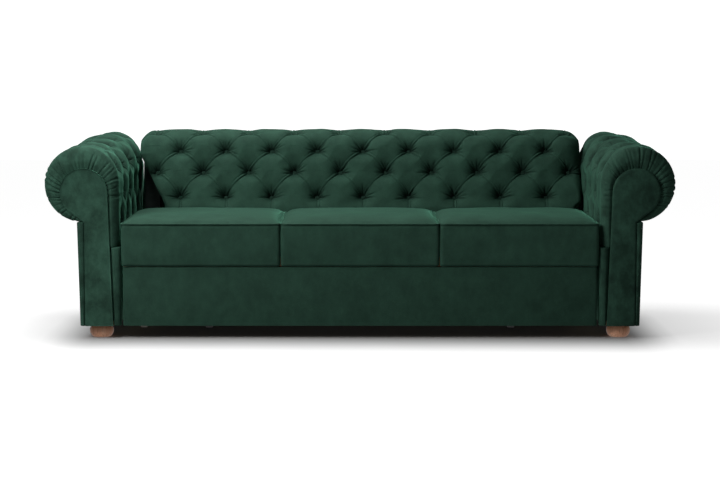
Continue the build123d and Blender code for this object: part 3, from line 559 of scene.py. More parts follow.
def spread(count, total, dense_from, dense_to, weight):
    """count places from 0 to total, weight times closer together between two places."""
    fine = np.linspace(0, total, 4000)
    density = 1 + (weight - 1) * ramp(fine, dense_from - 0.02, dense_from) * (
        1 - ramp(fine, dense_to, dense_to + 0.02))
    run = np.concatenate(([0], np.cumsum((density[1:] + density[:-1]) / 2)))
    return np.interp(np.linspace(0, run[-1], count), run, fine)


def close_back_ends(bm):
    """Wall up both ends of the padding between its front and the face on the frame."""
    bmesh.ops.remove_doubles(bm, verts=bm.verts, dist=0.3 * MM)
    for side in (-1, 1):
        chains = []
        for edge in bm.edges:
            if not edge.is_boundary:
                continue
            middle = (edge.verts[0].co + edge.verts[1].co) / 2 - BACK_PIVOT
            v, u = middle.dot(BACK_OUT), middle.dot(BACK_UP)
            on_front = v > 20 * MM and BASE_U + TOE_R < u < BACK_TOP_U
            on_frame = abs(v - PAD_V) < MM and u < BACK_TOP_U
            if middle.x * side > 0 and (on_front or on_frame):
                chains.append(edge)
        bmesh.ops.bridge_loops(bm, edges=chains)
    close_up(bm, 0.1 * MM)


def make_back():
    """The deep-buttoned back with its slanted left end and rounded top corners."""
    toe, face, top = back_section(np.zeros(1))[4:]
    total = toe + face + top
    rows = back_rows()
    pleats = lattice_pleats(rows, toe, total, -BACK_HALF, BACK_HALF, 0.8, 0.1)
    buttons = [(a, b, pull) for (b, row), pull in zip(rows, BACK_PULLS) for a in row]
    columns, outer_rows, inner_rows = BACK_COLUMNS, BACK_OUTER_ROWS, BACK_INNER_ROWS
    bm = bmesh.new()
    bmesh.ops.create_grid(bm, x_segments=columns, y_segments=outer_rows + inner_rows - 1, size=1)
    flat = get_points(bm)
    share_x = (flat[:, 0] + 1) / 2
    row = np.rint((flat[:, 1] + 1) / 2 * (outer_rows + inner_rows - 1)).astype(int)
    lengths = spread(outer_rows, total, toe + 0.3 * face, toe + face + 0.6 * top, 1.8)
    b = lengths[np.minimum(row, outer_rows - 1)]
    v, u, nv, nu = back_section(b)[:4]
    slant = np.clip((SLANT_TOP_U - u) / (SLANT_TOP_U - SLANT_LOW_U), 0, 1)
    left = -BACK_HALF + (BACK_HALF - SLANT_HALF) * slant
    step = 1 - ramp(u, STEP_U - 8 * MM, STEP_U + 22 * MM)
    right = BACK_HALF - (BACK_HALF - LOW_HALF) * step
    edge_in = BACK_HALF * (1 - 2 * SQUEEZE)
    x = (2 * share_x - 1) * BACK_HALF
    x = np.where(share_x < SQUEEZE, left + share_x / SQUEEZE * (-edge_in - left), x)
    x = np.where(share_x > 1 - SQUEEZE, right - (1 - share_x) / SQUEEZE * (right - edge_in), x)
    height, painted_shade = tuft_height(x, b, buttons, pleats, BACK_SEED)
    high = ramp(b, toe + 0.2 * face, toe + 0.36 * face)
    height = height * high + (1 - high) * -2 * MM
    over = ramp(b, toe + face + 0.36 * top, toe + face + 0.72 * top)
    height = height * (1 - over)
    upper = ramp(b, toe + 0.5 * face, toe + 0.8 * face)
    end_soft = 16 * MM + 50 * MM * upper
    end_deep = 10 * MM + 34 * MM * upper
    for gap in (x - left, right - x):
        near = np.clip(1 - gap / end_soft, 0, 1)
        height -= end_deep * near ** 2.2
    v, u = v + nv * height, u + nu * height
    inner = np.clip((row - outer_rows + 1) / inner_rows, 0, 1)
    path = np.array(
        [[-BACK_V, BACK_TOP_U], [PAD_V, BACK_TOP_U], [PAD_V, BASE_U], [BACK_V - TOE_R, BASE_U]]
    )
    runs = np.concatenate(([0], np.cumsum(np.hypot(*np.diff(path, axis=0).T))))
    v = np.where(inner > 0, np.interp(inner * runs[-1], runs, path[:, 0]), v)
    u = np.where(inner > 0, np.interp(inner * runs[-1], runs, path[:, 1]), u)
    slant = np.clip((SLANT_TOP_U - u) / (SLANT_TOP_U - SLANT_LOW_U), 0, 1)
    inner_left = -BACK_HALF + (BACK_HALF - SLANT_HALF) * slant
    inner_right = np.where(u < STEP_U, LOW_HALF, BACK_HALF)
    x = np.where(inner > 0, inner_left + share_x * (inner_right - inner_left), x)
    set_points(bm, back_place(x, v, u))
    # painted shade of the tufting, none on the inner faces
    mark_painted_shade(bm, np.where(inner > 0, 0, painted_shade))
    close_back_ends(bm)
    piece = keep("tufted_back", bm, "backrest", VELVET, ("back_pad",))


def covered_buttons(name, places, body, replaced):
    """Low domed velvet buttons; each place is (centre, outward normal)."""
    bm = bmesh.new()
    for centre, normal in places:
        turn = Vector(normal).to_track_quat("Z", "Y").to_matrix().to_4x4()
        matrix = Matrix.Translation(centre) @ turn @ Matrix.Diagonal((1, 1, 0.5, 1))
        bmesh.ops.create_uvsphere(bm, u_segments=16, v_segments=8, radius=BUTTON_R, matrix=matrix)
    bmesh.ops.recalc_face_normals(bm, faces=bm.faces)
    keep(name, bm, body, VELVET_BUTTON, replaced)


BUTTON_R = 9.5 * MM
BUTTON_PROUD = 14 * MM     # a button's centre above the bottom of its dimple


def button_sink(pull):
    """Height of a button's centre over the plain padding."""
    return CROWN - VALLEY_DEPTH - CREASE_DEPTH - DIP_DEPTH * pull + BUTTON_PROUD * pull


def make_back_buttons():
    """Buttons of the back, at the bottom of their dimples."""
    places = []
    for index, (b, row) in enumerate(back_rows()):
        sink = button_sink(TOP_PULL if index == len(ROW_U) else 1.0)
        v, u, nv, nu = (values[0] for values in back_section(np.array([b]))[:4])
        normal = BACK_OUT * nv + BACK_UP * nu
        for x in row:
            spot = BACK_PIVOT + Vector((x, 0, 0)) + BACK_OUT * v + BACK_UP * u
            places.append((spot + normal * sink, normal))
    covered_buttons("back_tuft_buttons", places, "backrest", ("back_buttons",))


# ---- arms --------------------------------------------------------------------------------------
ARM_ROW_Z = (442 * MM, 552 * MM)
ARM_ROW_ANGLES = (152, 110, 68, 26)
ARM_PITCH, ARM_FIRST_Y, ARM_COLUMNS = 180 * MM, -330 * MM, 5
BAND = 46 * MM             # depth of the gathered band behind the facing
TURN_IN = 0.1              # arc length over which the band turns in
FACE_LAP = 3 * MM          # the band runs this far in behind the facing
ARM_PULL = 0.9
ARM_SEED = {"right": 21, "left": 31}
GATHER_SEED = {"right": 5, "left": 8}
ARM_COLUMNS_FINE, ARM_OUTER_ROWS, ARM_INNER_ROWS = 290, 330, 26


def arm_section(b):
    """Section of the right arm's padding at arc length b: (x, z) and the outward (nx, nz)."""
    wall = ROLL_Z - PAD_BOTTOM
    angle = np.clip(np.pi - (b - wall) / ROLL_R, -np.pi / 2, np.pi)
    on_wall = b < wall
    x = np.where(on_wall, ARM_IN, ROLL_X + ROLL_R * np.cos(angle))
    z = np.where(on_wall, PAD_BOTTOM + b, ROLL_Z + ROLL_R * np.sin(angle))
    nx = np.where(on_wall, -1.0, np.cos(angle))
    nz = np.where(on_wall, 0.0, np.sin(angle))
    return x, z, nx, nz


def facing_edge(b):
    """Point on the facing's edge that the gathered band runs in to, at arc length b."""
    wall = ROLL_Z - PAD_BOTTOM
    stem_top = FACE_Z - PAD_BOTTOM
    around = np.clip((b - stem_top) / (wall - stem_top + ROLL_R * math.pi * 1.5), 0, 1)
    turn = math.radians(180) - around * math.radians(180 + 52) * 1.12
    on_disc = np.maximum(turn, FACE_END)
    x = FACE_X + (FACE_R - FACE_LAP) * np.cos(on_disc)
    z = FACE_Z + (FACE_R - FACE_LAP) * np.sin(on_disc)
    past = np.clip((FACE_END - turn) / (math.radians(26)), 0, 1)
    x = x + (NECK_X - x) * past
    z = z + (NECK_Z - z) * past
    stem = b < stem_top
    x = np.where(stem, FACE_X - FACE_R + FACE_LAP, x)
    z = np.where(stem, PAD_BOTTOM + b, z)
    return x, z


def arm_rows():
    """Button rows of an arm as (arc length, places along Y)."""
    wall = ROLL_Z - PAD_BOTTOM
    heights = [z - PAD_BOTTOM for z in ARM_ROW_Z]
    heights += [wall + ROLL_R * math.radians(180 - angle) for angle in ARM_ROW_ANGLES]
    rows = []
    for index, b in enumerate(heights):
        first = ARM_FIRST_Y + (index % 2) * ARM_PITCH / 2
        rows.append((b, [first + k * ARM_PITCH for k in range(ARM_COLUMNS - index % 2)]))
    return rows


def mirrored(places):
    """The same places on the other arm."""
    flipped = places.copy()
    flipped[:, 0] *= -1
    return flipped


GATHER_COUNT = 38
SEAT_CLEAR_X = 911.5 * MM  # the cushions and the back pass this side of it
ARM_RISE = 14 * MM         # the top of the roll rises towards the back of the sofa
SHOULDER = 16 * MM         # fullness of the roll's upper inner side towards the back
RISE_FROM, RISE_TO = 330 * MM, 720 * MM


def arm_rise(along, nz):
    """Extra height of the roll at a distance along the arm."""
    return ARM_RISE * ramp(along, RISE_FROM, RISE_TO) * np.clip(nz, 0, 1) ** 1.1


def gathers(b, along, total, rng):
    """Thin creases of uneven length and depth that run from the facing's edge over the band."""
    height = np.zeros_like(b)
    for index in range(GATHER_COUNT):
        middle = total * (index + rng.uniform(0.15, 0.85)) / GATHER_COUNT
        size = rng.uniform(1.8, 6.2) * MM
        if rng.random() < 0.3:
            size *= 0.35
        reach = rng.uniform(-45, 35) * MM
        width = rng.uniform(1.8, 3.2) * MM
        sway = rng.uniform(-0.16, 0.16)
        near = np.nonzero(np.abs(b - middle) < 42 * MM)[0]
        across = b[near] - middle - sway * (along[near] + 0.1)
        window = 1 - ramp(along[near], reach - 45 * MM, reach)
        height[near] -= size * window * np.exp(-np.abs(across) / width)
        height[near] += 0.25 * size * window * np.exp(-((np.abs(across) - 9 * MM) / (6 * MM)) ** 2)
    return height


def make_arm(side):
    """Tufted arm: wall, roll and the gathered band that turns in to the facing."""
    sign = 1 if side == "right" else -1
    wall = ROLL_Z - PAD_BOTTOM
    total = wall + ROLL_R * math.pi * 1.5
    y_rear, y_front = PAD_HIGH.y, PAD_LOW.y
    y_band = y_front + 30 * MM
    rows = arm_rows()
    pleats = lattice_pleats(rows, 0, total, y_band, y_rear, 0.5, 0.4)
    buttons = [(a, b, ARM_PULL) for b, row in rows for a in row]
    straight = y_rear - y_band
    columns, outer_rows, inner_rows = ARM_COLUMNS_FINE, ARM_OUTER_ROWS, ARM_INNER_ROWS
    bm = bmesh.new()
    bmesh.ops.create_grid(bm, x_segments=columns, y_segments=outer_rows + inner_rows - 1, size=1)
    flat = get_points(bm)
    column = np.rint((flat[:, 0] + 1) / 2 * columns).astype(int)
    row = np.rint((flat[:, 1] + 1) / 2 * (outer_rows + inner_rows - 1)).astype(int)
    along = spread(columns + 1, straight + TURN_IN, 0.0, 0.16, 1.7)[column] - TURN_IN
    share = (along + TURN_IN) / (straight + TURN_IN)
    b = np.minimum(row / (outer_rows - 1), 1) * total
    x, z, nx, nz = arm_section(b)
    y = y_band + np.maximum(along, 0)
    height, painted_shade = tuft_height(y, b, buttons, pleats, ARM_SEED[side])
    front_soft = ramp(along, 0, 80 * MM)
    height = height * front_soft + 3 * MM * (1 - front_soft)
    height += arm_rise(along, nz)
    height += SHOULDER * ramp(along, 0.2, 0.6) * np.clip(-2 * nx * nz, 0, 1)
    height *= ramp(b, 0, 26 * MM) * (1 - ramp(b, total - 50 * MM, total))
    height *= 1 - ramp(along, straight - 34 * MM, straight)
    low_part = 1 - ramp(z, 400 * MM, 470 * MM)
    height = np.where(nx < -0.5, np.minimum(height, 2 * MM + 30 * MM * (1 - low_part)), height)
    inward = np.clip(-nx, 0, 1)
    height -= 5 * MM * inward ** 4
    height = np.minimum(height, (x - SEAT_CLEAR_X) / np.maximum(inward, 0.02))
    curl = np.clip(-along / TURN_IN, 0, 1)
    edge_x, edge_z = facing_edge(b)
    swing = curl * np.pi / 2
    rng = random.Random(GATHER_SEED[side])
    strength = ramp(b, 0.12, 0.2) * (1 - ramp(b, total - 50 * MM, total - 6 * MM))
    depth = gathers(b, along, total, rng) * strength
    height = height + depth * np.cos(swing) ** 0.5
    x_out, z_out = x + nx * height, z + nz * height
    x_band = edge_x + (x_out - edge_x) * np.cos(swing)
    z_band = edge_z + (z_out - edge_z) * np.cos(swing)
    y_turn = y - (BAND + depth) * np.sin(swing) + 9 * MM * ramp(curl, 0.72, 1.0)
    x, z = np.where(curl > 0, x_band, x_out), np.where(curl > 0, z_band, z_out)
    y = np.where(curl > 0, y_turn, y)
    inner = np.clip((row - outer_rows + 1) / inner_rows, 0, 1)
    x_in, z_in, nx_in, nz_in = arm_section((1 - inner) * total)
    skin = ROLL_R - CORE_R
    x = np.where(inner > 0, x_in - nx_in * skin, x)
    z = np.where(inner > 0, z_in - nz_in * skin, z)
    y = np.where(inner > 0, y_front + share * (y_rear - y_front), y)
    places = np.column_stack((x, y, z))
    set_points(bm, places if sign > 0 else mirrored(places))
    # painted shade of the tufting, fading towards the front, none on the turned-in band or the
    # inner faces
    mark_painted_shade(bm, np.where((inner > 0) | (curl > 0), 0, painted_shade * front_soft))
    close_up(bm)
    piece = keep(f"{side}_tufted_arm", bm, "frame", VELVET_ARM, (f"{side}_arm_pad",))
    spots = []
    for row_b, row in rows:
        sx, sz, snx, snz = (values[0] for values in arm_section(np.array([row_b])))
        for row_y in row:
            raised = button_sink(ARM_PULL) + float(arm_rise(row_y - y_band, snz))
            normal = Vector((sign * snx, 0, snz))
            spots.append((Vector((sign * sx, row_y, sz)) + normal * raised, normal))
    covered_buttons(f"{side}_arm_tuft_buttons", spots, "frame", (f"{side}_arm_buttons",))


def make_facing(side):
    """Scroll facing: a disc on a stem, softly crowned, with a rolled edge."""
    sign = 1 if side == "right" else -1
    outline = [(FACE_X + FACE_R * math.cos(t), FACE_Z + FACE_R * math.sin(t))
               for t in np.linspace(FACE_END, math.pi, 40)]
    outline += [(STEM_FOOT_X, FACE_LOW.z), (NECK_X, FACE_LOW.z), (NECK_X, NECK_Z)]
    bm, cap = raise_outline([(sign * x, FACE_HIGH.y, z) for x, z in outline], FRONT + 4 * MM)
    bmesh.ops.inset_region(bm, faces=cap, thickness=3 * MM, depth=2.5 * MM, use_even_offset=True)
    bmesh.ops.inset_region(bm, faces=cap, thickness=6 * MM, depth=1.5 * MM, use_even_offset=True)
    keep_plate(f"{side}_scroll_facing", bm, "frame", VELVET_ARM, (f"{side}_arm_facing",), 60)


# ---- cushions and panels -----------------------------------------------------------------------
def welt(name, path, radius, body):
    """Piping round a closed path of points."""
    curve = bpy.data.curves.new(name, "CURVE")
    curve.dimensions = "3D"
    curve.bevel_depth = radius
    curve.bevel_resolution = 2
    spline = curve.splines.new("POLY")
    spline.points.add(len(path) - 1)
    for point, place in zip(spline.points, path):
        point.co = (*place, 1)
    spline.use_cyclic_u = True
    holder = bpy.data.objects.new(name, curve)
    bpy.context.collection.objects.link(holder)
    mesh = bpy.data.meshes.new_from_object(holder)
    bpy.data.objects.remove(holder)
    bm = bmesh.new()
    bm.from_mesh(mesh)
    bpy.data.meshes.remove(mesh)
    close_up(bm, 0.05 * MM)
    return keep(name, bm, body, VELVET)


CUSHION_EDGE = 440 * MM
CORNER_R = 13 * MM
NOTCH = 892 * MM           # the outer cushions are this wide beside the hinge plates
LIP_REAR, FELT_TOP = -423 * MM, 318.4 * MM
PIPING_R = 2.7 * MM
CUSHION_CUTS = 58


def make_cushion(side, seed):
    """Crowned seat cushion: domed top, plump front, piped round its top edge."""
    node = f"{side}_seat_cushion"
    low, high = (Vector(corner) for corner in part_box(node))
    bm = bmesh.new()
    bmesh.ops.create_cube(bm, size=2)
    bmesh.ops.subdivide_edges(bm, edges=bm.edges, cuts=CUSHION_CUTS, use_grid_fill=True)
    flat = get_points(bm)
    packed = np.sign(flat) * (1 - (1 - np.abs(flat)) ** 1.5)
    px, py, pz = packed.T
    half_x = (high.x - low.x) / 2 + 0.2 * MM
    mid_x, mid_y = (high.x + low.x) / 2, (high.y + low.y) / 2
    half_y = (high.y - low.y) / 2
    x, y = px * half_x, py * half_y
    core_x = np.clip(x, -half_x + CORNER_R, half_x - CORNER_R)
    core_y = np.clip(y, -half_y + CORNER_R, half_y - CORNER_R)
    dx, dy = x - core_x, y - core_y
    far = np.maximum(np.hypot(dx, dy), 1e-9)
    square = np.maximum(np.abs(dx), np.abs(dy))
    x, y = core_x + dx * square / far, core_y + dy * square / far
    dome = (1 - np.abs(px) ** 15) * (1 - np.abs(py) ** 5)
    crown = high.z - CUSHION_EDGE + 3 * MM
    top = CUSHION_EDGE + crown * dome * (0.86 + 0.14 * (1 - px * px))
    base = np.where(y + mid_y > LIP_REAR, FELT_TOP, low.z - 2.5 * MM)
    z = base + (top - base) * (pz + 1) / 2
    plump = 1 - ((pz + 0.05) / 1.05) ** 2
    on_front = ramp(-py, 0.9, 1.0)
    y = y - on_front * (plump * 4 * MM - 4 * MM) * (1 - 0.5 * np.abs(px) ** 8)
    on_side = ramp(np.abs(px), 0.93, 1.0)
    x = x - np.sign(px) * on_side * (1 - plump) * 2.5 * MM
    seam = np.exp(-((z - CUSHION_EDGE + 6.5 * MM) / (3 * MM)) ** 2)
    y = y + on_front * seam * 3 * MM
    under = ramp(-pz, 0.9, 1.0)
    y = y + on_front * under * 5 * MM
    x = x - np.sign(px) * on_side * under * 3 * MM
    rear_lean = (high.z - z) / (high.z - low.z) * 27 * MM
    y = np.where(py > 0, y - rear_lean * py ** 6, y)
    x, y = x + mid_x, y + mid_y
    z = z + np.where(pz > 0.999, waves(x, y, seed, 0.25) * 1.2 * MM * dome, 0)
    y = y + on_front * waves(x, z, seed + 3, 0.15) * 1.0 * MM
    if side != "middle":
        outer = -1 if side == "left" else 1
        reach = np.clip(x * outer - NOTCH, 0, None)
        x = x - outer * reach * np.clip((y - 20 * MM) / (18 * MM), 0, 1)
    set_points(bm, np.column_stack((x, y, z)))
    bmesh.ops.recalc_face_normals(bm, faces=bm.faces)
    piece = keep(f"{side}_cushion", bm, "seat", VELVET, (node,), angle=52)
    path = []
    for turn in np.linspace(0, math.tau, 160, endpoint=False):
        c, s = math.cos(turn), math.sin(turn)
        scale = 1 / max(abs(c), abs(s))
        wx, wy = c * scale * half_x, s * scale * half_y
        kx = min(max(wx, CORNER_R - half_x), half_x - CORNER_R)
        ky = min(max(wy, CORNER_R - half_y), half_y - CORNER_R)
        ex, ey = wx - kx, wy - ky
        size = math.hypot(ex, ey)
        wx, wy = kx + ex / size * (CORNER_R - 0.5 * MM), ky + ey / size * (CORNER_R - 0.5 * MM)
        wx, wy = wx + mid_x, wy + mid_y + (2.2 * MM if s * scale < -0.99 else 0)
        if side != "middle":
            outer = -1 if side == "left" else 1
            beyond = max(wx * outer - NOTCH, 0)
            wx -= outer * beyond * min(max((wy - 20 * MM) / (18 * MM), 0), 1)
        path.append((wx, wy, CUSHION_EDGE + 0.5 * MM))
    welt(f"{side}_cushion_piping", path, PIPING_R, "seat")


def slab(name, outline, z_low, z_high, body, replaced, round_edge, material, lean=None, sign=1):
    """Upholstered panel: an XY outline raised from z_low to z_high with soft edges."""
    bm = bmesh.new()
    verts = [bm.verts.new((sign * x * MM, y * MM, z_low)) for x, y in outline]
    face = bm.faces.new(verts)
    for vert in (part for part in bmesh.ops.extrude_face_region(bm, geom=[face])["geom"]
                 if isinstance(part, bmesh.types.BMVert)):
        vert.co.z = z_high
    bmesh.ops.recalc_face_normals(bm, faces=bm.faces)
    rims = [edge for edge in bm.edges if abs(edge.verts[0].co.z - edge.verts[1].co.z) < MM]
    bmesh.ops.bevel(
        bm, geom=rims, offset=round_edge, segments=4, profile=0.5, material=-1, affect="EDGES",
        clamp_overlap=True,
    )
    if lean is not None:
        for vert in bm.verts:
            lean(vert)
    keep_plate(name, bm, body, material, replaced)


INNER_OUTLINE = (
    (940, 436), (925, 436), (925, -380), (921, -392), (914.5, -404), (912.5, -418), (914, -430),
    (919, -437.5), (927, -441), (936, -441.5), (944, -439), (950, -433), (951, -427), (940, -425),
)
OUTER_OUTLINE = (
    (1059, 436), (1078, 436), (1078.5, -300), (1078.5, -426), (1077, -436), (1072, -443),
    (1064, -446), (1056, -446), (1051, -443), (1049.5, -436), (1049.5, -427), (1059, -426),
)


INNER_LEAN_FROM, OUTER_LEAN_FROM = 940 * MM, 1062 * MM
INNER_LEAN, OUTER_LEAN = 10 * MM, 9 * MM
OUTER_TOP, OUTER_LEAN_TOP, OUTER_LEAN_RUN = 446.7 * MM, 447 * MM, 400 * MM


def make_sides(side):
    """Plain panels under the roll, outside and inside, each rounded round the front."""
    sign = 1 if side == "right" else -1
    low, high = FACE_LOW.z, PAD_BOTTOM - 1.5 * MM

    def narrow(vert):
        share = (high - vert.co.z) / (high - low)
        if abs(vert.co.x) > INNER_LEAN_FROM:
            vert.co.x -= sign * share * INNER_LEAN
    slab(f"{side}_inner_side", INNER_OUTLINE, low, high, "frame", (f"{side}_arm_inner_panel",),
         5 * MM, VELVET_ARM, narrow, sign)

    def lean_in(vert):
        if abs(vert.co.x) > OUTER_LEAN_FROM:
            vert.co.x -= sign * OUTER_LEAN * (OUTER_LEAN_TOP - vert.co.z) / OUTER_LEAN_RUN
    slab(f"{side}_outer_side", OUTER_OUTLINE, low, OUTER_TOP, "frame",
         (f"{side}_arm_outer_panel",), 3 * MM, VELVET_ARM, lean_in, sign)


BASE_OUTLINE = (
    (-903.2, -423), (-903.2, -405), (-905, -405), (-905, -430), (-902, -434.5), (-896, -436),
    (-500, -438), (0, -438.5), (500, -438), (896, -436), (902, -434.5), (905, -430),
    (905, -405), (903.2, -405), (903.2, -423),
)


def make_base_front():
    """Upholstered base panel with softly rounded edges."""
    low, high = (Vector(corner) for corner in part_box("front_panel"))
    slab("base_front", BASE_OUTLINE, low.z, high.z, "seat_box", ("front_panel",), 6 * MM,
         VELVET_PANEL)


SIDE_X, OUTER_FOOT_X, OUTER_NECK = 925 * MM, 1069 * MM, (1077 * MM, 446 * MM)
REAR_START_Y, REAR_EDGE_Y, REAR_FACE_Y = 436.5 * MM, 446 * MM, 449 * MM
REAR_FULLNESS = 8 * MM     # the cover stands up round the top of the roll


def cover_rear_facing(side):
    """Padded rear cover of an arm."""
    sign = 1 if side == "right" else -1
    outline = [(ARM_IN, ROLL_Z), (ARM_IN, PAD_BOTTOM), (SIDE_X, PAD_BOTTOM),
               (SIDE_X, FACE_LOW.z), (OUTER_FOOT_X, FACE_LOW.z), OUTER_NECK]
    for t in np.linspace(-math.pi / 2 + 0.12, math.pi, 56)[:-1]:
        tall = ROLL_R + REAR_FULLNESS * max(math.sin(t), 0)
        outline.append((ROLL_X + ROLL_R * math.cos(t), ROLL_Z + tall * math.sin(t)))
    bm, cap = raise_outline([(sign * x, REAR_START_Y, z) for x, z in outline], REAR_EDGE_Y)
    bmesh.ops.inset_region(bm, faces=cap, thickness=3 * MM, depth=0, use_even_offset=True)
    for vert in cap[0].verts:
        vert.co.y = REAR_FACE_Y
    keep_plate(f"{side}_rear_cover", bm, "frame", VELVET_PANEL, (f"{side}_arm_rear_facing",))


REAR_PANEL_FACE, REAR_PANEL_V = -92.3 * MM, -82.2 * MM
REAR_PANEL_OUTLINE = (
    (-882, -34), (882, -34), (884, -30), (884, 102), (888, 106), (904, 106), (908, 112),
    (908, 334), (904, 339), (-904, 339), (-908, 334), (-908, 112), (-904, 106), (-888, 106),
    (-884, 102), (-884, -30),
)
COVER_OUTLINE = (
    (436.3, 50), (448, 50), (450, 54), (450, 235), (448.5, 240.5), (445, 244), (439, 245.6),
    (324, 245.6), (320, 244.4), (318, 241), (319, 236.5), (323, 234.2), (436.3, 234.2),
)


def make_rear_panels():
    """Plain upholstered rear of the back, and the cover over the beam with its ledge."""
    def on_back(vert):
        x, u, v = vert.co
        vert.co = BACK_PIVOT + Vector((x, 0, 0)) + BACK_UP * u + BACK_OUT * v
    slab("back_rear_cover", REAR_PANEL_OUTLINE, REAR_PANEL_FACE, REAR_PANEL_V, "backrest",
         ("back_rear_panel",), 3 * MM, VELVET_PANEL, on_back)

    def across(vert):
        y, z, x = vert.co
        vert.co = (x, y, z)
    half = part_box("rear_cover")[1][0]
    slab("beam_cover", COVER_OUTLINE, -half, half, "frame", ("rear_cover",), 2 * MM,
         VELVET_PANEL, across)


def make_foot(node):
    """Turned bun foot."""
    low, high = (Vector(corner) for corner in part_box(node))
    cx, cy = (low.x + high.x) / 2, (low.y + high.y) / 2
    wide = (high.x - low.x) / 2
    tall = high.z - low.z
    profile = ((0.0, 0.0), (0.66, 0.0), (0.76, 0.03), (0.9, 0.17), (0.985, 0.36), (1.0, 0.52),
               (0.975, 0.68), (0.9, 0.83), (0.8, 0.93), (0.76, 0.96), (0.76, 1.0), (0.0, 1.0))
    bm = bmesh.new()
    verts = [bm.verts.new((cx + wide * r, cy, low.z + tall * h)) for r, h in profile]
    edges = [bm.edges.new(pair) for pair in zip(verts, verts[1:])]
    bmesh.ops.spin(
        bm, geom=verts + edges, cent=(cx, cy, 0), axis=(0, 0, 1), angle=math.tau, steps=48,
        use_merge=True,
    )
    close_up(bm, 0.05 * MM)
    foot = keep(f"{node}_turned", bm, "frame", FOOT_WOOD, (node,), angle=50)
    smooth = foot.modifiers.new("smooth", "SUBSURF")
    smooth.levels = smooth.render_levels = 1


# ---- stage -------------------------------------------------------------------------------------
# the floor's painted glow away from the sofa; nearer the sofa it is lower, a painted shadow
FLOOR_GLOW = 0.95


def make_stage():
    """Pale floor whose shadow round the sofa is partly cast by the lamps and partly painted by a
    glow that is lower near the sofa, and a white backdrop behind it.
    """
    material, nodes, links, principled, where = shader("pale_floor")
    fleck = noise(nodes, links, where, 3, 2, 0.5)
    links.new(colours(nodes, links, fleck, [(0.3, (0.28, 0.28, 0.28)), (0.7, (0.3, 0.3, 0.3))]),
              principled.inputs["Base Color"])
    dial(principled, {"Roughness": 0.9, "Emission Color": (1, 1, 1, 1)})
    # painted light: the floor glows by its glow attribute, low near the sofa as a painted shadow
    glow = nodes.new("ShaderNodeAttribute")
    glow.attribute_name = "glow"
    links.new(glow.outputs["Fac"], principled.inputs["Emission Strength"])
    bm = bmesh.new()
    bmesh.ops.create_grid(bm, x_segments=240, y_segments=220, size=1)
    for vert in bm.verts:
        vert.co.x *= 1.5 + 12.5 * vert.co.x ** 2
        vert.co.y *= 1.5 + 11.5 * vert.co.y ** 2
    mesh = bpy.data.meshes.new("pale_floor")
    bm.to_mesh(mesh)
    bm.free()
    spots = np.array([v.co[:] for v in mesh.vertices])
    # painted shadow: the glow rises with distance from the sofa at rest, so the floor is darkest
    # next to and under it
    beside = np.maximum(np.abs(spots[:, 0]) - 1.0, 0)
    ahead = np.maximum(-0.34 - spots[:, 1], 0)
    behind = np.maximum(spots[:, 1] - 0.1, 0)
    close = np.sqrt((beside / 0.24) ** 2 + (ahead / 0.56) ** 2 + (behind / 0.5) ** 2)
    far = np.sqrt((beside / 1.0) ** 2 + (ahead / 0.7) ** 2 + (behind / 0.9) ** 2)
    glow = mesh.attributes.new("glow", "FLOAT", "POINT")
    bright = FLOOR_GLOW * (0.66 * ramp(close, 0.0, 1.0) + 0.34 * ramp(far, 0.0, 1.0))
    glow.data.foreach_set("value", bright)
    floor = bpy.data.objects.new("pale_floor", mesh)
    bpy.context.collection.objects.link(floor)
    mesh.materials.append(material)
    white, nodes, links, principled, where = shader("white_backdrop")
    dial(principled, {
        "Base Color": (0.9, 0.9, 0.9, 1), "Emission Color": (1, 1, 1, 1), "Emission Strength": 1.0,
    })
    bm = bmesh.new()
    bmesh.ops.create_uvsphere(bm, u_segments=64, v_segments=32, radius=12.5)
    bmesh.ops.bisect_plane(
        bm, geom=bm.verts[:] + bm.edges[:] + bm.faces[:], plane_co=(0, 0, -0.01),
        plane_no=(0, 0, -1), clear_outer=True,
    )
    bmesh.ops.reverse_faces(bm, faces=bm.faces)
    mesh = bpy.data.meshes.new("white_backdrop")
    bm.to_mesh(mesh)
    bm.free()
    mesh.polygons.foreach_set("use_smooth", [True] * len(mesh.polygons))
    backdrop = bpy.data.objects.new("white_backdrop", mesh)
    bpy.context.collection.objects.link(backdrop)
    mesh.materials.append(white)
    for piece in (floor, backdrop):
        piece.visible_diffuse = False
        piece.visible_glossy = False
        piece.visible_shadow = False


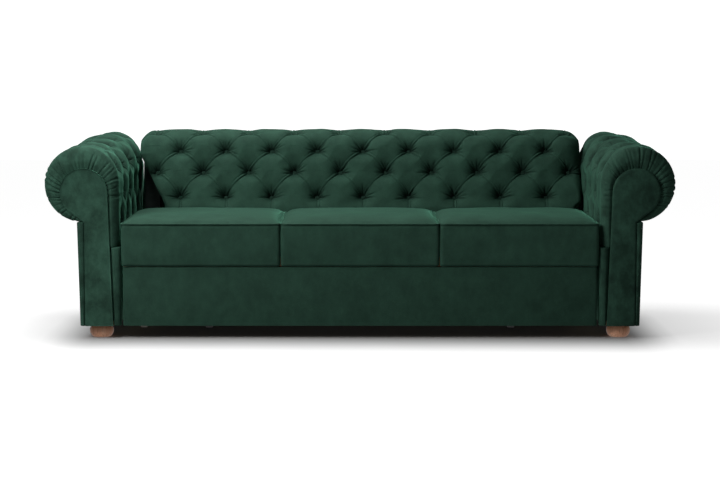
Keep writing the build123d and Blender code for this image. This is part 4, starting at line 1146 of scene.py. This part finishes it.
def area_light(name, place, target, size, power):
    """A soft rectangular lamp aimed at a point."""
    data = bpy.data.lights.new(name, "AREA")
    data.shape = "RECTANGLE"
    data.size, data.size_y = size
    data.energy = power
    lamp = bpy.data.objects.new(name, data)
    bpy.context.collection.objects.link(lamp)
    lamp.location = place
    lamp.visible_camera = False
    lamp.rotation_euler = (Vector(target) - Vector(place)).to_track_quat("-Z", "Y").to_euler()


def make_light():
    """Near key from the upper left, a softbox overhead, faint surroundings."""
    area_light("key", (-2.1, -2.2, 2.1), (-0.5, 0.0, 0.4), (1.1, 1.1), 71)
    area_light("overhead", (-0.8, 0.15, 2.6), (-0.3, 0.0, 0.4), (2.6, 0.9), 58)
    world = bpy.data.worlds.new("studio")
    bpy.context.scene.world = world
    world.use_nodes = True
    nodes, links = world.node_tree.nodes, world.node_tree.links
    where = nodes.new("ShaderNodeTexCoord").outputs["Generated"]
    split = nodes.new("ShaderNodeSeparateXYZ")
    links.new(where, split.inputs["Vector"])
    height = nodes.new("ShaderNodeMapRange")
    dial(height, {"From Min": -0.25, "From Max": 0.25, "To Min": 0.26, "To Max": 0.1})
    links.new(split.outputs["Z"], height.inputs["Value"])
    links.new(height.outputs["Result"], nodes["Background"].inputs["Strength"])
    nodes["Background"].inputs["Color"].default_value = (1, 1, 1, 1)
    bpy.context.scene.view_settings.view_transform = "Standard"


def make_camera():
    """Camera straight in front, a little above the sofa, tilted slightly down."""
    data = bpy.data.cameras.new("camera")
    data.lens, data.sensor_width = 98.6, 36
    camera = bpy.data.objects.new("camera", data)
    bpy.context.collection.objects.link(camera)
    camera.location = (0, -7.908, 1.099)
    camera.rotation_euler = (math.radians(90 - 5.5), 0, 0)
    bpy.context.scene.camera = camera


make_camera()
finish_frame()
make_back()
make_back_buttons()
for arm in ("left", "right"):
    make_arm(arm)
    make_facing(arm)
    make_sides(arm)
    cover_rear_facing(arm)
for index, cushion in enumerate(("left", "middle", "right")):
    make_cushion(cushion, 40 + index)
make_base_front()
make_rear_panels()
for corner in ("front_left", "front_right", "rear_left", "rear_right"):
    make_foot(f"{corner}_foot")
make_stage()
make_light()
